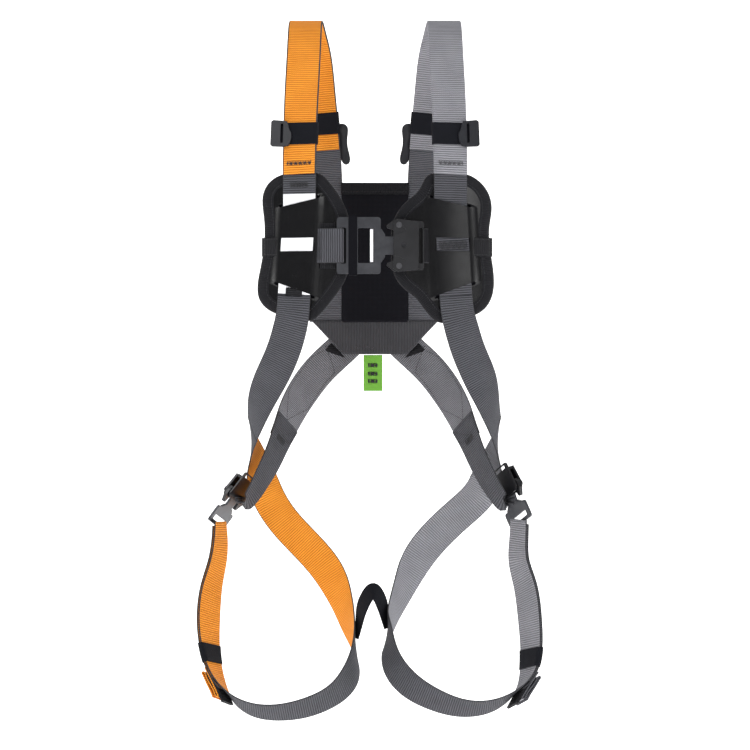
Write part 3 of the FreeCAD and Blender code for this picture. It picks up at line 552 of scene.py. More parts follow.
def band(name, route, at, reach, body, node, thick, slack, lift=0.0):
    """Closed elastic band round a strap, reach to each side of a place, that follows the strap's twist."""
    inner = section(WEB_WIDTH + 2 * slack, thick + 2 * slack, 0.0, 10)
    outer = section(WEB_WIDTH + 2 * (slack + BAND_WALL), thick + 2 * (slack + BAND_WALL), 0.25, 10)
    start, end, roll = at - reach, at + reach, 0.45 * BAND_WALL
    # each place has its distance along and its share of the wall's thickness
    places = [(start, 0.35), (start + 0.1, 0.8375), (start + roll, 1)]
    places += [(s, 1) for s in np.linspace(start + 2, end - 2, 10)]
    places += [(end - roll, 1), (end - 0.1, 0.8375), (end, 0.35)]
    places += [(s, 0) for s, _ in reversed(places[2:-2])]
    points = [route.at(s, ai + (ao - ai) * f, ni + (no - ni) * f + lift)
              for s, f in places for (ai, ni, _), (ao, no, _) in zip(inner, outer)]
    faces, uvs = skin(len(places), round_lengths(outer), [s for s, _ in places] + [start])
    make(name, points, faces, ["elastic"], body, [node], uvs)


def stitches(name, lines, body, look="thread", radius=0.36):
    """Rows of stitches. Each line has (place, normal) pairs, close together; a stitch sinks at its ends."""
    length, gap, sides = 2.6, 1.1, 6
    profile = ((0, -0.5, 0.5), (0.2, 0.35, 1), (0.8, 0.35, 1), (1, -0.5, 0.5))    # share, height, thickness
    one_faces, one_uvs = skin(4, [0.3 * k for k in range(sides + 1)], [0.9 * k for k in range(4)])
    one_faces += ring_ends(4, sides)
    one_uvs += [[(0, 0)] * sides] * 2
    points, faces, uvs = [], [], []
    for line in lines:
        places, normals = (np.array(part) for part in zip(*line))
        run = run_lengths(places)
        s = 0.3
        while s + length < run[-1]:
            faces += [[len(points) + v for v in face] for face in one_faces]
            uvs += one_uvs
            for share, up, size in profile:
                t = s + share * length
                p, ahead, n = (np.array([np.interp(where, run, field[:, k]) for k in range(3)])
                               for where, field in ((t, places), (t + 0.2, places), (t, normals)))
                n = unit(n)
                side = unit(np.cross(unit(ahead - p + 1e-9), n))
                for k in range(sides):
                    c, w = math.cos(k * math.pi / 3), math.sin(k * math.pi / 3)
                    points.append(p + n * radius * (up + size * w) + side * radius * size * c)
            s += length + gap
    make(name, points, faces, [look], body, (), uvs)


def strap_line(route, corners, side, thick=WEB_THICK, lift=0.0):
    """Line on a strap's face through (distance along, across) corners; side is +1 or -1."""
    line = []
    for (s0, a0), (s1, a1) in zip(corners, corners[1:]):
        steps = max(int(math.hypot(s1 - s0, a1 - a0)), 2)
        for i in range(steps):
            f = i / steps
            s, a = s0 + (s1 - s0) * f, a0 + (a1 - a0) * f
            p = route.at(s, a, lift + side * (thick / 2 + 0.12))
            line.append((p, side * (route.at(s, a, lift + 1) - route.at(s, a, lift))))
    return line


def tack(route, s, reach, height, side, thick=WEB_THICK, lift=0.0, turns=14):
    """Zigzag bar tack across a strap."""
    corners = [(s + height * (0.5 if i % 2 else -0.5), -reach + 2 * reach * i / turns)
               for i in range(turns + 1)]
    return strap_line(route, corners, side, thick, lift)


def node_box(node):
    """Low and high corners of a CAD node's box, in torso millimetres."""
    return [np.array(corner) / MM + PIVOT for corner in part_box(node)]


# ---- the torso's front ----


def front(x, z, depth):
    """Point at a depth in front of the chest pads' back face."""
    reach = CHEST_RADIUS + depth
    bent = max(abs(x) - FLAT_HALF, 0.0)
    return (x, CHEST_Y + CHEST_RADIUS - math.sqrt(reach ** 2 - bent ** 2), z)


def front_normal(x):
    bent = max(abs(x) - FLAT_HALF, 0.0)
    tilt = math.asin(bent / CHEST_RADIUS)
    return np.array((math.copysign(math.sin(tilt), x), -math.cos(tilt), 0.0))


def level_route(path, z, step):
    """Route round the torso's front at one height; path is its plan as (x, depth)."""
    return Route([(*front(x, z, depth), 0, 0, 1) for x, depth in path], step)


def closed_curve(points, count):
    """Even points on a smooth closed curve, the inward direction at each, and the curve's length."""
    ring = np.array(points, float)
    tripled = np.concatenate([ring, ring, ring, ring[:1]])
    rows = np.concatenate([tripled, np.zeros((len(tripled), 1))], axis=1)
    along, values = natural_spline(rows, 1.0)
    knots = run_lengths(tripled)
    start, end = knots[len(ring)], knots[2 * len(ring)]
    where = np.linspace(start, end, count, endpoint=False)
    xy = np.stack([np.interp(where, along, values[:, k]) for k in range(2)], axis=1)
    tangent = unit(np.roll(xy, -1, axis=0) - np.roll(xy, 1, axis=0))
    inward = np.stack([tangent[:, 1], -tangent[:, 0]], axis=1)
    area = 0.5 * np.sum(xy[:, 0] * np.roll(xy[:, 1], -1) - np.roll(xy[:, 0], -1) * xy[:, 1])
    return xy, -inward if area > 0 else inward, end - start


def rim(name, outline, body, node):
    """Binding tape folded over the panel's edge: a rounded section carried round the outline."""
    xy, inward, length = closed_curve(outline, 260)
    width, thick = RIM_WIDTH - 0.4, RIM_THICK - 0.3
    profile = [(width, 0.8), (width, thick - 2.2), (width - 0.7, thick - 0.7), (width - 2.0, thick - 0.2)]
    profile += [(width - 4.2, thick - 0.75), (width - 6, thick - 0.15), (width * 0.4, thick + 0.1)]
    profile += [(3.6 - 3.4 * math.sin(t), thick / 2 + (thick / 2) * math.cos(t))
                for t in np.linspace(0.25, math.pi - 0.25, 9)]
    profile += [(width * 0.4, 0.1), (width - 4, 0.2)]
    points = [front(x + ix * e, z + iz * e, d) for (x, z), (ix, iz) in zip(xy, inward) for e, d in profile]
    count = len(xy)
    faces, uvs = skin(count, round_lengths(profile), [length * i / count for i in range(count + 1)])
    make(name, points, turned(faces), ["binding"], body, [node], turned(uvs))
    e = width - 4.2
    seam = [(np.array(front(x + ix * e, z + iz * e, thick - 0.55)), front_normal(x))
            for (x, z), (ix, iz) in zip(xy, inward)]
    stitches(name + "_stitching", [seam + seam[:1]], body)


def web_x(z):
    """Middle of the panel's webbing at a height, as a distance from X = 0."""
    share = np.clip((TOP_SLOT[0] - z) / (TOP_SLOT[0] - PANEL_WEB_ENDS[1]), 0, 1)
    return PANEL_WEB_X[0] + share * (PANEL_WEB_X[1] - PANEL_WEB_X[0])


def slot_height(slot, offset):
    """Height of a slanted slot at an offset from the webbing's middle, towards the outside."""
    share = 0.5 - offset / WEB_WIDTH
    return slot[0] + share * (slot[1] - slot[0])


def smooth_step(low, high, value):
    t = np.clip((value - low) / (high - low), 0, 1)
    return t * t * (3 - 2 * t)


def sheet_depth(x, z):
    """Front face of the glossy sheet: low at the rim, raised where it bridges the webbing."""
    offset = abs(x) - web_x(z)
    top, low = slot_height(TOP_SLOT, offset), slot_height(BOTTOM_SLOT, offset)
    sides = 1 - smooth_step(20.0, 35.0, abs(offset))
    between = smooth_step(low - 2.5, low + 0.5, z) * (1 - smooth_step(top - 0.5, top + 2.5, z))
    sag = 0.7 * math.sin(math.pi * np.clip((z - low) / (top - low), 0, 1))
    return SHEET_LEVEL + (SHEET_RISE - sag) * sides * between


def inside(corners, x, z):
    """Whether a point lies inside an outline."""
    hit = False
    for (x0, z0), (x1, z1) in zip(corners, corners[1:] + corners[:1]):
        if (z0 > z) != (z1 > z) and x < x0 + (x1 - x0) * (z - z0) / (z1 - z0):
            hit = not hit
    return hit


def nearest_on(corners, x, z):
    """Nearest point of an outline, and its distance."""
    spots = []
    for a, b in zip(np.array(corners), np.array(corners[1:] + corners[:1])):
        t = np.clip((np.array((x, z)) - a) @ (b - a) / ((b - a) @ (b - a)), 0, 1)
        spots.append(a + t * (b - a))
    spot = min(spots, key=lambda p: math.dist(p, (x, z)))
    return spot, math.dist(spot, (x, z))


def open_slots(shell, slots):
    """Deletes the faces inside each slot and draws the slot's rim straight."""
    for corners in slots:
        low = np.min(corners, axis=0) - 4
        high = np.max(corners, axis=0) + 4
        near = []
        for face in shell.faces:
            x, _, z = np.array(face.calc_center_median()) / MM + PIVOT
            if low[0] < x < high[0] and low[1] < z < high[1]:
                near.append((face, inside(corners, x, z)))
        edge_points = {v for face, hit in near if hit for v in face.verts}
        edge_points &= {v for face, hit in near if not hit for v in face.verts}
        for v in edge_points:
            x, _, z = np.array(v.co) / MM + PIVOT
            spot, gap = nearest_on(corners, x, z)
            if gap < 3.0:
                v.co = (np.array(front(spot[0], spot[1], sheet_depth(*spot))) - PIVOT) * MM
        bmesh.ops.delete(shell, geom=[face for face, hit in near if hit], context="FACES")


def slanted_slot(side, slot):
    """Corners of a narrow slot with pointed ends, across the webbing."""
    gap, reach = 3.4, WEB_WIDTH / 2 + 3
    middle = web_x(sum(slot) / 2)
    ends = ((reach, 0.5), (reach + 1.5, 0), (reach, -0.5), (-reach, -0.5), (-reach - 1.5, 0), (-reach, 0.5))
    return [(side * (middle + offset), slot_height(slot, offset) + gap * up) for offset, up in ends]


def middle_slot(side):
    """Corners of the square slot over the webbing."""
    half, middle = WEB_WIDTH / 2, web_x(sum(MIDDLE_SLOT) / 2)
    low, high = MIDDLE_SLOT
    return [(side * (middle + a), z) for a, z in ((half, low), (half, high), (-half, high), (-half, low))]


def panel_sheet(side, outline, name, body):
    """Glossy sheet inside the rim: a net of rings, opened at its three slots and then thickened."""
    xy, inward, _ = closed_curve(outline, 300)
    ring = xy + inward * (RIM_WIDTH - 2.4)
    for _ in range(14):
        ring = (np.roll(ring, 1, axis=0) + 2 * ring + np.roll(ring, -1, axis=0)) / 4
    centre = ring.mean(axis=0)
    rings, n = 64, len(ring)
    points = [front(x, z, sheet_depth(x, z)) for r in range(1, rings + 1)
              for x, z in centre + (ring - centre) * (r / rings) ** 0.8]
    points.append(front(*centre, sheet_depth(*centre)))
    faces = skin(rings, range(n + 1), range(rings))[0]
    faces += [(rings * n, (i + 1) % n, i) for i in range(n)]
    obj = make("panel_sheet_" + name, points, faces, ["sheet"], None, ["chest_sheet_" + name],
               flat_uvs(points, faces))
    shell = bmesh.new()
    shell.from_mesh(obj.data)
    bmesh.ops.recalc_face_normals(shell, faces=shell.faces)
    if sum(f.normal.y for f in shell.faces) > 0:
        bmesh.ops.reverse_faces(shell, faces=shell.faces)
    open_slots(shell, [slanted_slot(side, TOP_SLOT), slanted_slot(side, BOTTOM_SLOT), middle_slot(side)])
    shell.to_mesh(obj.data)
    shell.free()
    thickness = obj.modifiers.new("thickness", "SOLIDIFY")
    thickness.thickness = 1.0 * MM
    thickness.offset = -1.0
    graph = bpy.context.evaluated_depsgraph_get()
    mesh = bpy.data.meshes.new_from_object(obj.evaluated_get(graph))
    obj.modifiers.clear()
    obj.data = mesh
    mesh.polygons.foreach_set("use_smooth", [True] * len(mesh.polygons))
    mesh.set_sharp_from_angle(angle=math.radians(40))
    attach(obj, body)


def pad(name, outline, body, node):
    """Foam pad under the sheet: swollen, with a quilted channel in its back that follows the outline."""
    xy, inward, _ = closed_curve(outline, 160)
    ring = xy + inward * (RIM_WIDTH - 1.5)
    centre = ring.mean(axis=0)
    rings = 30
    levels = [(PAD_BACK, 1, r) for r in range(rings + 1)]
    levels += [(PAD_FRONT, -1, r) for r in reversed(range(rings + 1))]
    points = []
    for level, swell, r in levels:
        f = math.sin(0.5 * math.pi * r / rings)
        edge = (1 - f) * 60
        depth = level + swell * PAD_SWELL * (1 - smooth_step(0, 6, edge))
        if level == PAD_BACK:
            depth += PAD_CHANNEL * math.exp(-((edge - 14) / 1.6) ** 2)
        points += [front(x, z, depth) for x, z in centre + (ring - centre) * f]
    faces = turned(skin(len(levels), range(len(ring) + 1), range(len(levels)))[0])
    obj = make(name, points, faces, ["pad"], body, [node], flat_uvs(points, faces))


def panel_webbing(side, name, body):
    """Webbing woven through the sheet's slots, with its sewn marks; the left one wears a label sleeve."""
    middle = WEB_DEPTH + WEB_THICK / 2
    top, low = PANEL_WEB_ENDS
    curve = Route([
        (*front(side * web_x(z), z, middle), *np.cross((0, 0, 1), front_normal(side * web_x(z))))
        for z in np.linspace(top - 1, low + 0.5, 12)
    ])
    outward = curve.facing(0)
    strap("panel_webbing_" + name, curve, DARK_WEB, body, ["chest_webbing_" + name])
    if side < 0:
        strap("label_sleeve", curve.cut(*LABEL_ENDS), "label", body, ["id_label_left"], WEB_WIDTH - 1.6, 0.5,
              outward * (WEB_THICK / 2 + 0.35))
        marks = [tack(curve, s, 12, 4.5, outward, turns=26) for s in (14.5, 17.5)]
    else:
        marks = [tack(curve, s, 19, 5.0, outward, turns=40) for s in (89.5, 93.0, 96.5)]
    stitches("panel_marks_" + name, marks, body, radius=0.45)
    if side < 0:
        hem, lift = curve.cut(147.5, 158), outward * (WEB_THICK / 2 + 1.3)
        strap("label_hem", hem, "black", body, (), 22, 1.2, lift)
        marks = [tack(hem, s, 9, 2.5, outward, 1.2, lift, 20) for s in (3, 7)]
        stitches("label_hem_stitching", marks, body, radius=0.45)


def rim_tab(side, name, body):
    """Short tape sewn over the rim at the buckle's height."""
    x_in, x_out = (118.5, 144.5) if side < 0 else (119.5, 150)
    path = []
    for f in np.linspace(0, 1, 12):
        ends = 2.6 * smooth_step(0.8, 1, f) + 0.9 * (1 - smooth_step(0, 0.2, f))
        path.append((side * (x_in + (x_out - x_in) * f), 9.7 + 0.8 * math.sin(math.pi * f) - ends))
    route = level_route(path, 163.5, 1.5)
    strap("rim_tab_" + name, route, "black", body, (), 24, 1.0)
    length = route.along[-1]
    seam = [(2, -10), (length - 6, -10), (length - 6, 10), (2, 10), (2, -10)]
    stitches("rim_tab_stitching_" + name, [strap_line(route, seam, route.facing(5), 1.0)], body)


def centre_tab(path, look, marks_at, name, body):
    """Webbing between the chest panel and the centre buckle."""
    route = level_route(path, BUCKLE_Z, 0.8)
    strap("centre_tab_" + name, route, [look, look, "edge"], body)
    marks = [tack(route, s, 18, 3.0, route.facing(4), turns=30) for s in marks_at]
    if marks:
        stitches("centre_tab_stitching_" + name, marks, body, radius=0.42)


# ---- the end of a leg strap's tail ----


def tail_end(route, s, outward, looks, name, body):
    """The tail's end, folded in an S over a straight dark sewn cover."""
    i = route.sample(s)
    base = TAIL_LIFT + WEB_THICK / 2 + 0.3 + 0.9
    fold = [(19, base + 0.2), (8, base), (-8, base), (-19, base + 0.3), (-22.2, base + 1.3)]
    fold += [(-21.5, base + 2.7), (-17, base + 3.2), (-4, base + 3.3), (10, base + 3.4), (15.2, base + 4.2)]
    fold += [(15.6, base + 5.6), (12, base + 6.6), (0, base + 6.8), (-14, base + 6.9), (-20, base + 7.4)]
    cover = [(2, TAIL_LIFT), (-14, TAIL_LIFT), (-23, TAIL_LIFT + 0.5), (-31, TAIL_LIFT + 1.0)]
    pieces = (("fold", fold, looks, WEB_WIDTH - 1, 1.7), ("cover", cover, "black", WEB_WIDTH - 2, 3.6))
    for piece, path, piece_looks, width, thick in pieces:
        places = [route.mid[i] + route.tangent[i] * t + route.normal[i] * outward * n for t, n in path]
        folded = Route([(*p, *route.across[i] * outward) for p in places], 0.9)
        strap("leg_tail_" + piece + "_" + name, folded, piece_looks, body, (), width, thick)


# ---- assembly ----


def carried_nodes():
    """Looks of the CAD nodes that stay as they are."""
    looks = {
        "male_plate": "plate_metal", "female_rivets": "rivet", "latch_springs": "steel",
        "dorsal_ring": "steel", "dorsal_plate": "plastic", "male_keeper_band": "elastic",
    }
    for part in ("female_base", "female_cover", "release_lever_upper", "release_lever_lower"):
        looks[part] = "black_metal"
    for side in ("left", "right"):
        looks["front_clip_" + side] = "plastic"
        looks["leg_male_plate_" + side] = "plate_metal"
        for part in ("female_base", "female_cover", "lever_near", "lever_far"):
            looks["leg_" + part + "_" + side] = "black_metal"
    for node, look in looks.items():
        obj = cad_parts[node]
        obj.data.materials.clear()
        obj.data.materials.append(LOOKS[look][1])


def soften_edges(names, radius):
    """Rounds hard edges in the shading of these materials."""
    for name in names:
        tree = LOOKS[name][1].node_tree
        bevel = tree.nodes.new("ShaderNodeBevel")
        bevel.inputs["Radius"].default_value = radius
        bump = next(n for n in tree.nodes if n.type == "BUMP")
        tree.links.new(bevel.outputs[0], bump.inputs["Normal"])


def shoulders():
    for name, stations, colour, edge, thread in SHOULDER_PAIR:
        route = Route(stations)
        outward = route.facing(3)
        obj = strap("shoulder_webbing_" + name, route, [colour, colour, edge], None,
                    ["shoulder_strap_" + name], WEB_WIDTH, SHOULDER_THICK)
        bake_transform(obj)
        marks = [tack(route, s, 16, 4.2, outward, SHOULDER_THICK, turns=30) for s in (13.0, 15.0)]
        stitches("shoulder_tack_" + name, marks, "chest_" + name, thread, 0.45)
        at, keeper = route.knots[FRONT_KEEPER_AT], "shoulder_keeper_" + name
        band("front_band_" + name, route, at, 14.5, keeper, "front_keeper_" + name, SHOULDER_THICK, 0.5)
        i = route.sample(at)
        face = route.normal[i] * outward * (SHOULDER_THICK / 2 + 2.1)
        backing = Route([(*route.mid[i] + face - route.across[i] * a, *route.tangent[i])
                         for a in (17, 20, 23, 27)], 0.8)
        strap("clip_elastic_" + name, backing, "elastic", keeper, (), 27, 0.8)
        at, keeper = route.knots[REAR_KEEPER_AT], "back_keeper_" + name
        band("rear_band_" + name, route, at, 14.5, keeper, "rear_keeper_" + name, SHOULDER_THICK, 0.5)
        rear_end(route, at, name)


def rear_end(route, s, name):
    """Moulded two-lobed end of the rear band, with a raised rim round a shallow dish."""
    i = route.sample(s)
    mid, across, tangent = route.mid[i], route.across[i], -route.tangent[i]
    backwards = route.normal[i] * route.facing(i, (0, 1, 0))
    outline = [
        (21, -2), (29, -2), (33.5, -6), (34, -13), (32.5, -21), (32, -35), (33.5, -45), (33.5, -52),
        (31, -56.5), (26, -57), (22.5, -53), (21, -29),
    ]
    xy, inward, _ = closed_curve(outline, 90)
    face = SHOULDER_THICK / 2 + 1.5
    profile = [(0.6, 0.0), (0, 0.6), (0, 2.3), (0.6, 3.0), (1.8, 3.0), (2.6, 2.2), (5.0, 2.0)]
    points = [mid + across * (a + ia * e) + tangent * (t + it * e) + backwards * (face + n)
              for e, n in profile for (a, t), (ia, it) in zip(xy, inward)]
    faces = skin(len(profile), range(len(xy) + 1), range(len(profile)))[0]
    faces += ring_ends(len(profile), len(xy))
    fix_normals(make("rear_band_end_" + name, points, faces, ["plastic"], "back_keeper_" + name))


def back():
    for name, stations in REAR_PAIR:
        route = Route(stations)
        strap("rear_webbing_" + name, route, ["mid", "mid", "edge"], "back", ["rear_strap_" + name])
        seams = [strap_line(route, [(s0, -17), (s0, 17), (s1, 17), (s1, -17), (s0, -17)], route.facing(40))
                 for s0, s1 in ((46, 58), (206, 222))]
        stitches("rear_stitching_" + name, seams, "back", "thread_grey")
    back_panel()
    back_binding()
    lower_band()
    green_tag()
    for name, stations in SEAT_PAIR:
        route = Route(stations)
        strap("seat_webbing_" + name, route, ["seat", "seat", "edge"], "back", ["seat_strap_" + name])
        # dark triangle on the seat strap: painted shadow of the lower band
        seat_shadow_triangle(-1 if name == "left" else 1, name)
        corners = [(30, -18), (40, 6), (46, 17), (112, 19), (150, -2), (112, -18), (52, -19), (36, -14)]
        seam = strap_line(route, corners, route.facing(20, (0, -1, 0.2)))
        stitches("seat_stitching_" + name, [seam], "back")


def seat_shadow_triangle(side, name):
    """Painted shadow: a dark triangle where a seat strap leaves the lower band, the band's shade on the
    strap.
    """
    outline = [(-69, 33), (-40, 23), (-47, 31), (-59, 43)]
    points = [(side * -x, y, z) for y in (95.7, 96.6) for x, z in outline]
    faces = ring_ends(2, 4) + skin(2, range(5), range(2))[0]
    fix_normals(make("seat_painted_shadow_" + name, points, faces, ["black"], "back", (), flat_uvs(points, faces)))


def back_panel():
    """Long padded panel with rounded sides and a flat woven face."""
    low, high = node_box("back_panel")
    low, high = low - (2.6, 0, 1.0), high + (2.6, 0, 2.0)
    columns, rows = 36, 60
    width = high[0] - low[0] - 0.6
    ring = []
    for k in range(2 * columns):
        step = 0.3 + width * (k % columns) / columns
        x = low[0] + step if k < columns else high[0] - step
        edge = min(x - low[0], high[0] - x)
        inset = 0.5 + 2.2 * (1 - smooth_step(0, 3.2, edge)) - 0.5 * smooth_step(3, 20, edge)
        ring.append((x, low[1] + inset if k < columns else high[1] - inset))
    points = [(x, y, z) for z in np.linspace(low[2], high[2], rows + 1) for x, y in ring]
    faces = skin(rows + 1, range(len(ring) + 1), range(rows + 1))[0] + ring_ends(rows + 1, len(ring))
    obj = make("back_panel_pad", points, faces, ["pad"], "back", ["back_panel"], flat_uvs(points, faces))


def back_binding():
    """Ribbed binding over the panel's top edge, with its seam."""
    low, high = node_box("back_panel_binding")
    low, high = low - (2.4, 0, 0), high + (2.4, 0, 0)
    y, half, bend = (low[1] + high[1]) / 2, (high[1] - low[1]) / 2, 4.2
    profile = [(y + half * math.cos(t), high[2] - bend + bend * math.sin(t))
               for t in np.linspace(0, math.pi, 11)[1:]]
    profile += [(low[1], low[2] + 5), (low[1] + 0.5, low[2] + 4.2), (low[1] + 0.5, low[2] + 3.4),
                (low[1], low[2] + 2.4), (low[1], low[2] + 0.3), (high[1], low[2] + 0.3)]
    along = np.linspace(low[0], high[0], 71)
    points = [(x, a, b) for x in along for a, b in profile]
    faces, uvs = skin(len(along), round_lengths(profile), along)
    faces = turned(faces) + ring_ends(len(along), len(profile))
    uvs = turned(uvs) + [[(0, 0)] * len(profile)] * 2
    fix_normals(make("back_binding", points, faces, ["binding"], "back", ["back_panel_binding"], uvs))
    seam = [(np.array((x, low[1] + 0.35, low[2] + 3.8)), np.array((0, -1, 0)))
            for x in np.linspace(low[0] + 1, high[0] - 1, 80)]
    stitches("back_binding_stitching", [seam], "back")


def lower_band():
    """Lower back band; its ends are the rear straps, folded at 45 degrees."""
    rows, columns = 14, 60
    count = 2 * (columns + 1)
    points = []
    for f in np.linspace(0, 1, rows + 1):
        half = 86 - 43 * f
        for back_face in (-1, 1):
            for c in range(columns + 1):
                x = back_face * half * (1 - 2 * c / columns)
                level = 0.85 - 0.5 * (1 - smooth_step(0, 4, half - abs(x)))
                points.append((x, LOWER_BAND_Y + back_face * level, 73.4 - 45.4 * f))
    faces = turned(skin(rows + 1, range(count + 1), range(rows + 1))[0])
    for base in (0, rows * count):
        far = base + count - 1
        faces += [(base + c, base + c + 1, far - c - 1, far - c) for c in range(columns)]
    fix_normals(make("lower_band", points, faces, ["band"], "back", ["lumbar_band"],
                     flat_uvs(points, faces, 2, 0)))
    forward = np.array((0, -1, 0))
    wavy = 37 + 1.5 * np.sin(np.linspace(0, 9, 14))
    lines = [[(np.array((x, LOWER_BAND_Y - 1.0, z)), forward) for x, z in zip(np.linspace(x0, x1, 14), wavy)]
             for x0, x1 in ((-27, -18), (-12, 2))]
    lines += [[(np.array((s * (80 - 36 * f), LOWER_BAND_Y - 1.0, 69 - 37 * f)), forward)
               for f in np.linspace(0, 1, 40)] for s in (-1, 1)]
    stitches("lower_band_stitching", lines, "back", "thread_grey")


def green_tag():
    low, high = node_box("tag")
    x, y = (low[0] + high[0]) / 2, (low[1] + high[1]) / 2
    route = Route([(x, y, z, 1, 0, 0) for z in np.linspace(high[2], low[2], 6)], 1.5)
    strap("green_tag_tape", route, "green", "green_tag", ["tag"], high[0] - low[0], 1.1)
    bars = [tack(route, s, 6.5, 4.0, route.facing(4), 1.1, turns=22)
            for s in (13, 15, 24.5, 26.5, 34.5, 36.5)]
    stitches("green_tag_bars", bars, "green_tag", radius=0.5)


def dorsal():
    """Yoke webbing across the rear straps, and the loop that holds the dorsal ring."""
    low, high = node_box("dorsal_yoke")
    y, z = (low[1] + high[1]) / 2, (low[2] + high[2]) / 2
    route = Route([(x, y, z, 0, 0, 1) for x in np.linspace(low[0], high[0], 8)])
    strap("dorsal_yoke_webbing", route, DARK_WEB, "back", ["dorsal_yoke"])
    outward = route.facing(10, (0, 1, 0))
    boxes = []
    for s in (6, route.along[-1] - 34):
        box = [(s, -18), (s + 28, -18), (s + 28, 18), (s, 18), (s, -18), (s + 28, 18)]
        boxes += [strap_line(route, box, outward), strap_line(route, [(s + 28, -18), (s, 18)], outward)]
    stitches("dorsal_yoke_stitching", boxes, "back", "thread_grey")
    _, cy, cz = PIVOT
    path = [(0, 107.0, cz - 6.7), (0, 116, cz - LOOP_RADIUS), (0, cy, cz - LOOP_RADIUS)]
    path += [(0, cy + LOOP_RADIUS * math.sin(t), cz - LOOP_RADIUS * math.cos(t))
             for t in np.linspace(0.4, math.pi - 0.4, 7)]
    path += [(0, cy, cz + LOOP_RADIUS), (0, 116, cz + LOOP_RADIUS), (0, 107.0, cz + 6.7)]
    loop = Route([(*p, 1, 0, 0) for p in path], 1.2)
    strap("dorsal_loop_webbing", loop, ["black", "black", "edge"], "back", ["dorsal_loop"], 40, 1.8)


def chest():
    round_bar = [(-74, 9.6), (-70, 12.6), (-64, 14.4), (-56, 15.6), (-50, 17.7), (-45.5, 18.1), (-42, 17.3),
                 (-40.2, 15.4), (-40.6, 13.2), (-43, 12.1), (-50, 11.9), (-60, 11.4)]
    under_sheet = [(60.6, 11.6), (62.4, 11.9), (65, 10.6), (68, 8.4), (72, 6.9), (82, 6.6)]
    # black strip under the left centre tab, wider than it: painted shadow where the tab stands off the sheet
    tab_shadow_route = level_route([(-70, 10.2), (-67, 10.6), (-62, 10.2), (-56, 9.9), (-50, 9.8)], BUCKLE_Z, 0.8)
    strap("tab_painted_shadow", tab_shadow_route, "black", "chest_left", (), 58, 1.0)
    # white strip down the male plate's window: a painted highlight standing in for the reflection on the
    # window's edge
    lip = Route([(-4.2, CHEST_Y - 15.2, z, 1, 0, 0) for z in (143, 152, 164, 176, 185)], 1.5)
    strap("window_painted_highlight", lip, "label", "chest_left", (), 4.2, 1.6)
    panels = ((-1, PANEL_LEFT, "left", round_bar, "dark", (3.5, 6.5)),
              (1, PANEL_RIGHT, "right", under_sheet, "black", ()))
    for side, outline, name, path, look, marks_at in panels:
        body = "chest_" + name
        rim("chest_binding_" + name, outline, body, "chest_rim_" + name)
        pad("chest_foam_" + name, outline, body, "chest_pad_" + name)
        panel_sheet(side, outline, name, body)
        panel_webbing(side, name, body)
        centre_tab(path, look, marks_at, name, body)
        rim_tab(side, name, body)


def two_faced(front_face, colour):
    """Looks of webbing with a dark outer face; front_face is the side that it is on."""
    return ["dark", colour, "edge"] if front_face > 0 else [colour, "dark", "edge"]


def hips():
    for name, side_route, hip_route, loop_route, colour in HIP_PAIR:
        route = Route(side_route)
        looks = two_faced(route.facing(4), colour)
        obj = strap("side_webbing_" + name, route, looks, None, ["side_strap_" + name])
        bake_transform(obj)
        obj = strap("hip_webbing_" + name, Route(hip_route), looks, None, ["hip_strap_" + name])
        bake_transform(obj)
        route = Route(loop_route)
        obj = strap("hip_loop_webbing_" + name, route, DARK_WEB, None, ["hip_loop_" + name])
        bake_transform(obj)
        outward = route.facing(12)
        box = [(3, -19), (3, 19), (24, 19), (24, -19), (3, -19), (24, 0), (3, 19)]
        marks = [tack(route, s, 9, 3.5, outward, turns=24) for s in (27.5, 30, 32.5)]
        stitches("hip_loop_stitching_" + name, [strap_line(route, box, outward)] + marks, "back")


def legs():
    for name, stations, colour, fold_edge in LEG_PAIR:
        body = "leg_" + name
        route = Route(stations)
        keeper_at, roll_at = route.knots[LEG_KEEPER_AT], route.knots[ROLL_AT]
        outer = route.facing(route.sample(keeper_at), (-1 if name == "left" else 1, 0, 0))
        looks = two_faced(outer, colour)
        strap("leg_webbing_" + name, route, looks, body, ["leg_strap_" + name])
        tail = route.cut(roll_at - 12, route.knots[-1] - 3)
        strap("leg_tail_webbing_" + name, tail, looks, body, ["leg_tail_" + name], lift=outer * TAIL_LIFT)
        tail_end(route, roll_at, outer, [colour, "dark", fold_edge], name, body)
        band("leg_band_" + name, route, keeper_at, 12.5, "thigh_keeper_" + name, "leg_keeper_" + name,
             WEB_THICK + TAIL_LIFT, 0.6, outer * TAIL_LIFT / 2)
    strap("crotch_elastic", Route(CROTCH_LINK, 1.5), "elastic", "leg_left", ["crotch_link"], 26, 1.6)


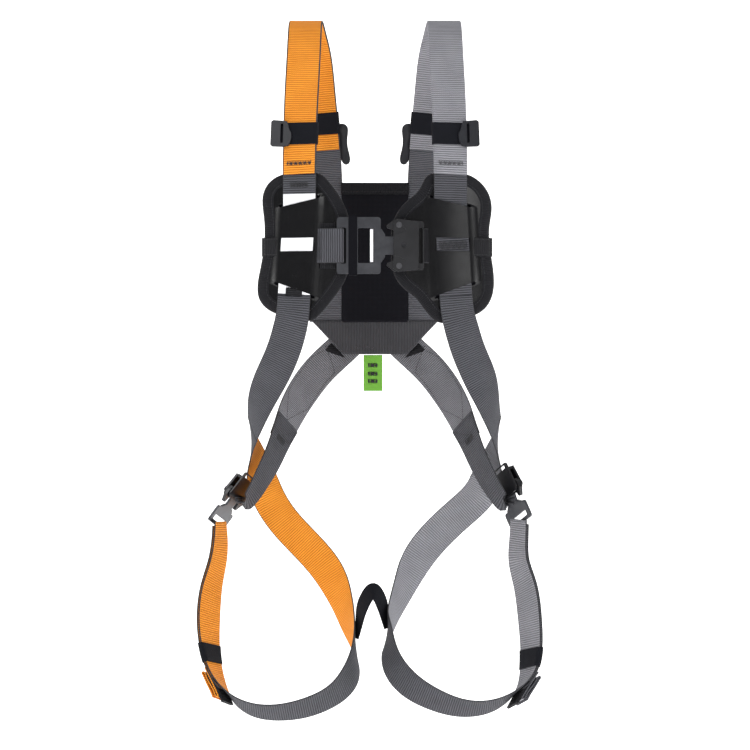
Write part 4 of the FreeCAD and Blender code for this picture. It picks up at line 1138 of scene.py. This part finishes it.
def studio():
    """Pale seamless floor and wall, soft lights and the camera, all outside the object."""
    floor_z, wall_y, bend = -0.80, 5.2, 1.4
    path = [(-6.0, floor_z), (wall_y - bend, floor_z)]
    path += [(wall_y - bend + bend * math.sin(t), floor_z + bend - bend * math.cos(t))
             for t in np.linspace(0.1, math.pi / 2, 16)]
    path.append((wall_y, 6.0))
    mesh = bpy.data.meshes.new("backdrop")
    verts = [(x, y, z) for y, z in path for x in (-8.0, 8.0)]
    mesh.from_pydata(verts, [], [(2 * i, 2 * i + 1, 2 * i + 3, 2 * i + 2) for i in range(len(path) - 1)])
    mesh.polygons.foreach_set("use_smooth", [True] * len(mesh.polygons))
    paper = bpy.data.materials.new("backdrop_paper")
    paper.use_nodes = True
    shader = paper.node_tree.nodes["Principled BSDF"]
    shader.inputs["Base Color"].default_value = (0.93, 0.93, 0.93, 1)
    shader.inputs["Roughness"].default_value = 0.9
    shader.inputs["Emission Color"].default_value = (1, 1, 1, 1)
    shader.inputs["Emission Strength"].default_value = 0.95
    mesh.materials.append(paper)
    add_object("backdrop", mesh)

    world = bpy.data.worlds.new("studio")
    world.use_nodes = True
    background = world.node_tree.nodes["Background"]
    background.inputs["Color"].default_value = (1, 1, 1, 1)
    background.inputs["Strength"].default_value = 0.24
    bpy.context.scene.world = world
    lamps = (
        ("key", (-1.2, -2.2, 1.5), 0.9, 27), ("fill", (1.6, -2.0, 0.6), 0.9, 15),
        ("top", (0.0, -0.3, 2.2), 1.2, 16), ("side_left", (-2.0, 0.2, 0.2), 0.6, 12),
        ("side_right", (2.0, 0.2, 0.2), 0.6, 12), ("low", (0.0, -2.0, -0.7), 0.9, 7),
    )
    for name, place, size, power in lamps:
        light = bpy.data.lights.new(name, "AREA")
        light.size, light.energy = size, power
        lamp = add_object(name, light, place)
        aim = Vector((0, -0.1, -0.2)) - lamp.location
        lamp.rotation_euler = aim.to_track_quat("-Z", "Y").to_euler()

    data = bpy.data.cameras.new("camera")
    data.lens, data.sensor_width = 113.4, 36.0
    camera = add_object("camera", data, (0.0, -3.225, -0.2))
    camera.rotation_euler = (math.radians(90), 0, 0)
    bpy.context.scene.camera = camera
    bpy.context.scene.view_settings.view_transform = "Standard"


carried_nodes()
soften_edges(["black_metal", "plate_metal", "plastic", "steel", "rivet"], 0.0006)
shoulders()
back()
dorsal()
chest()
hips()
legs()
studio()
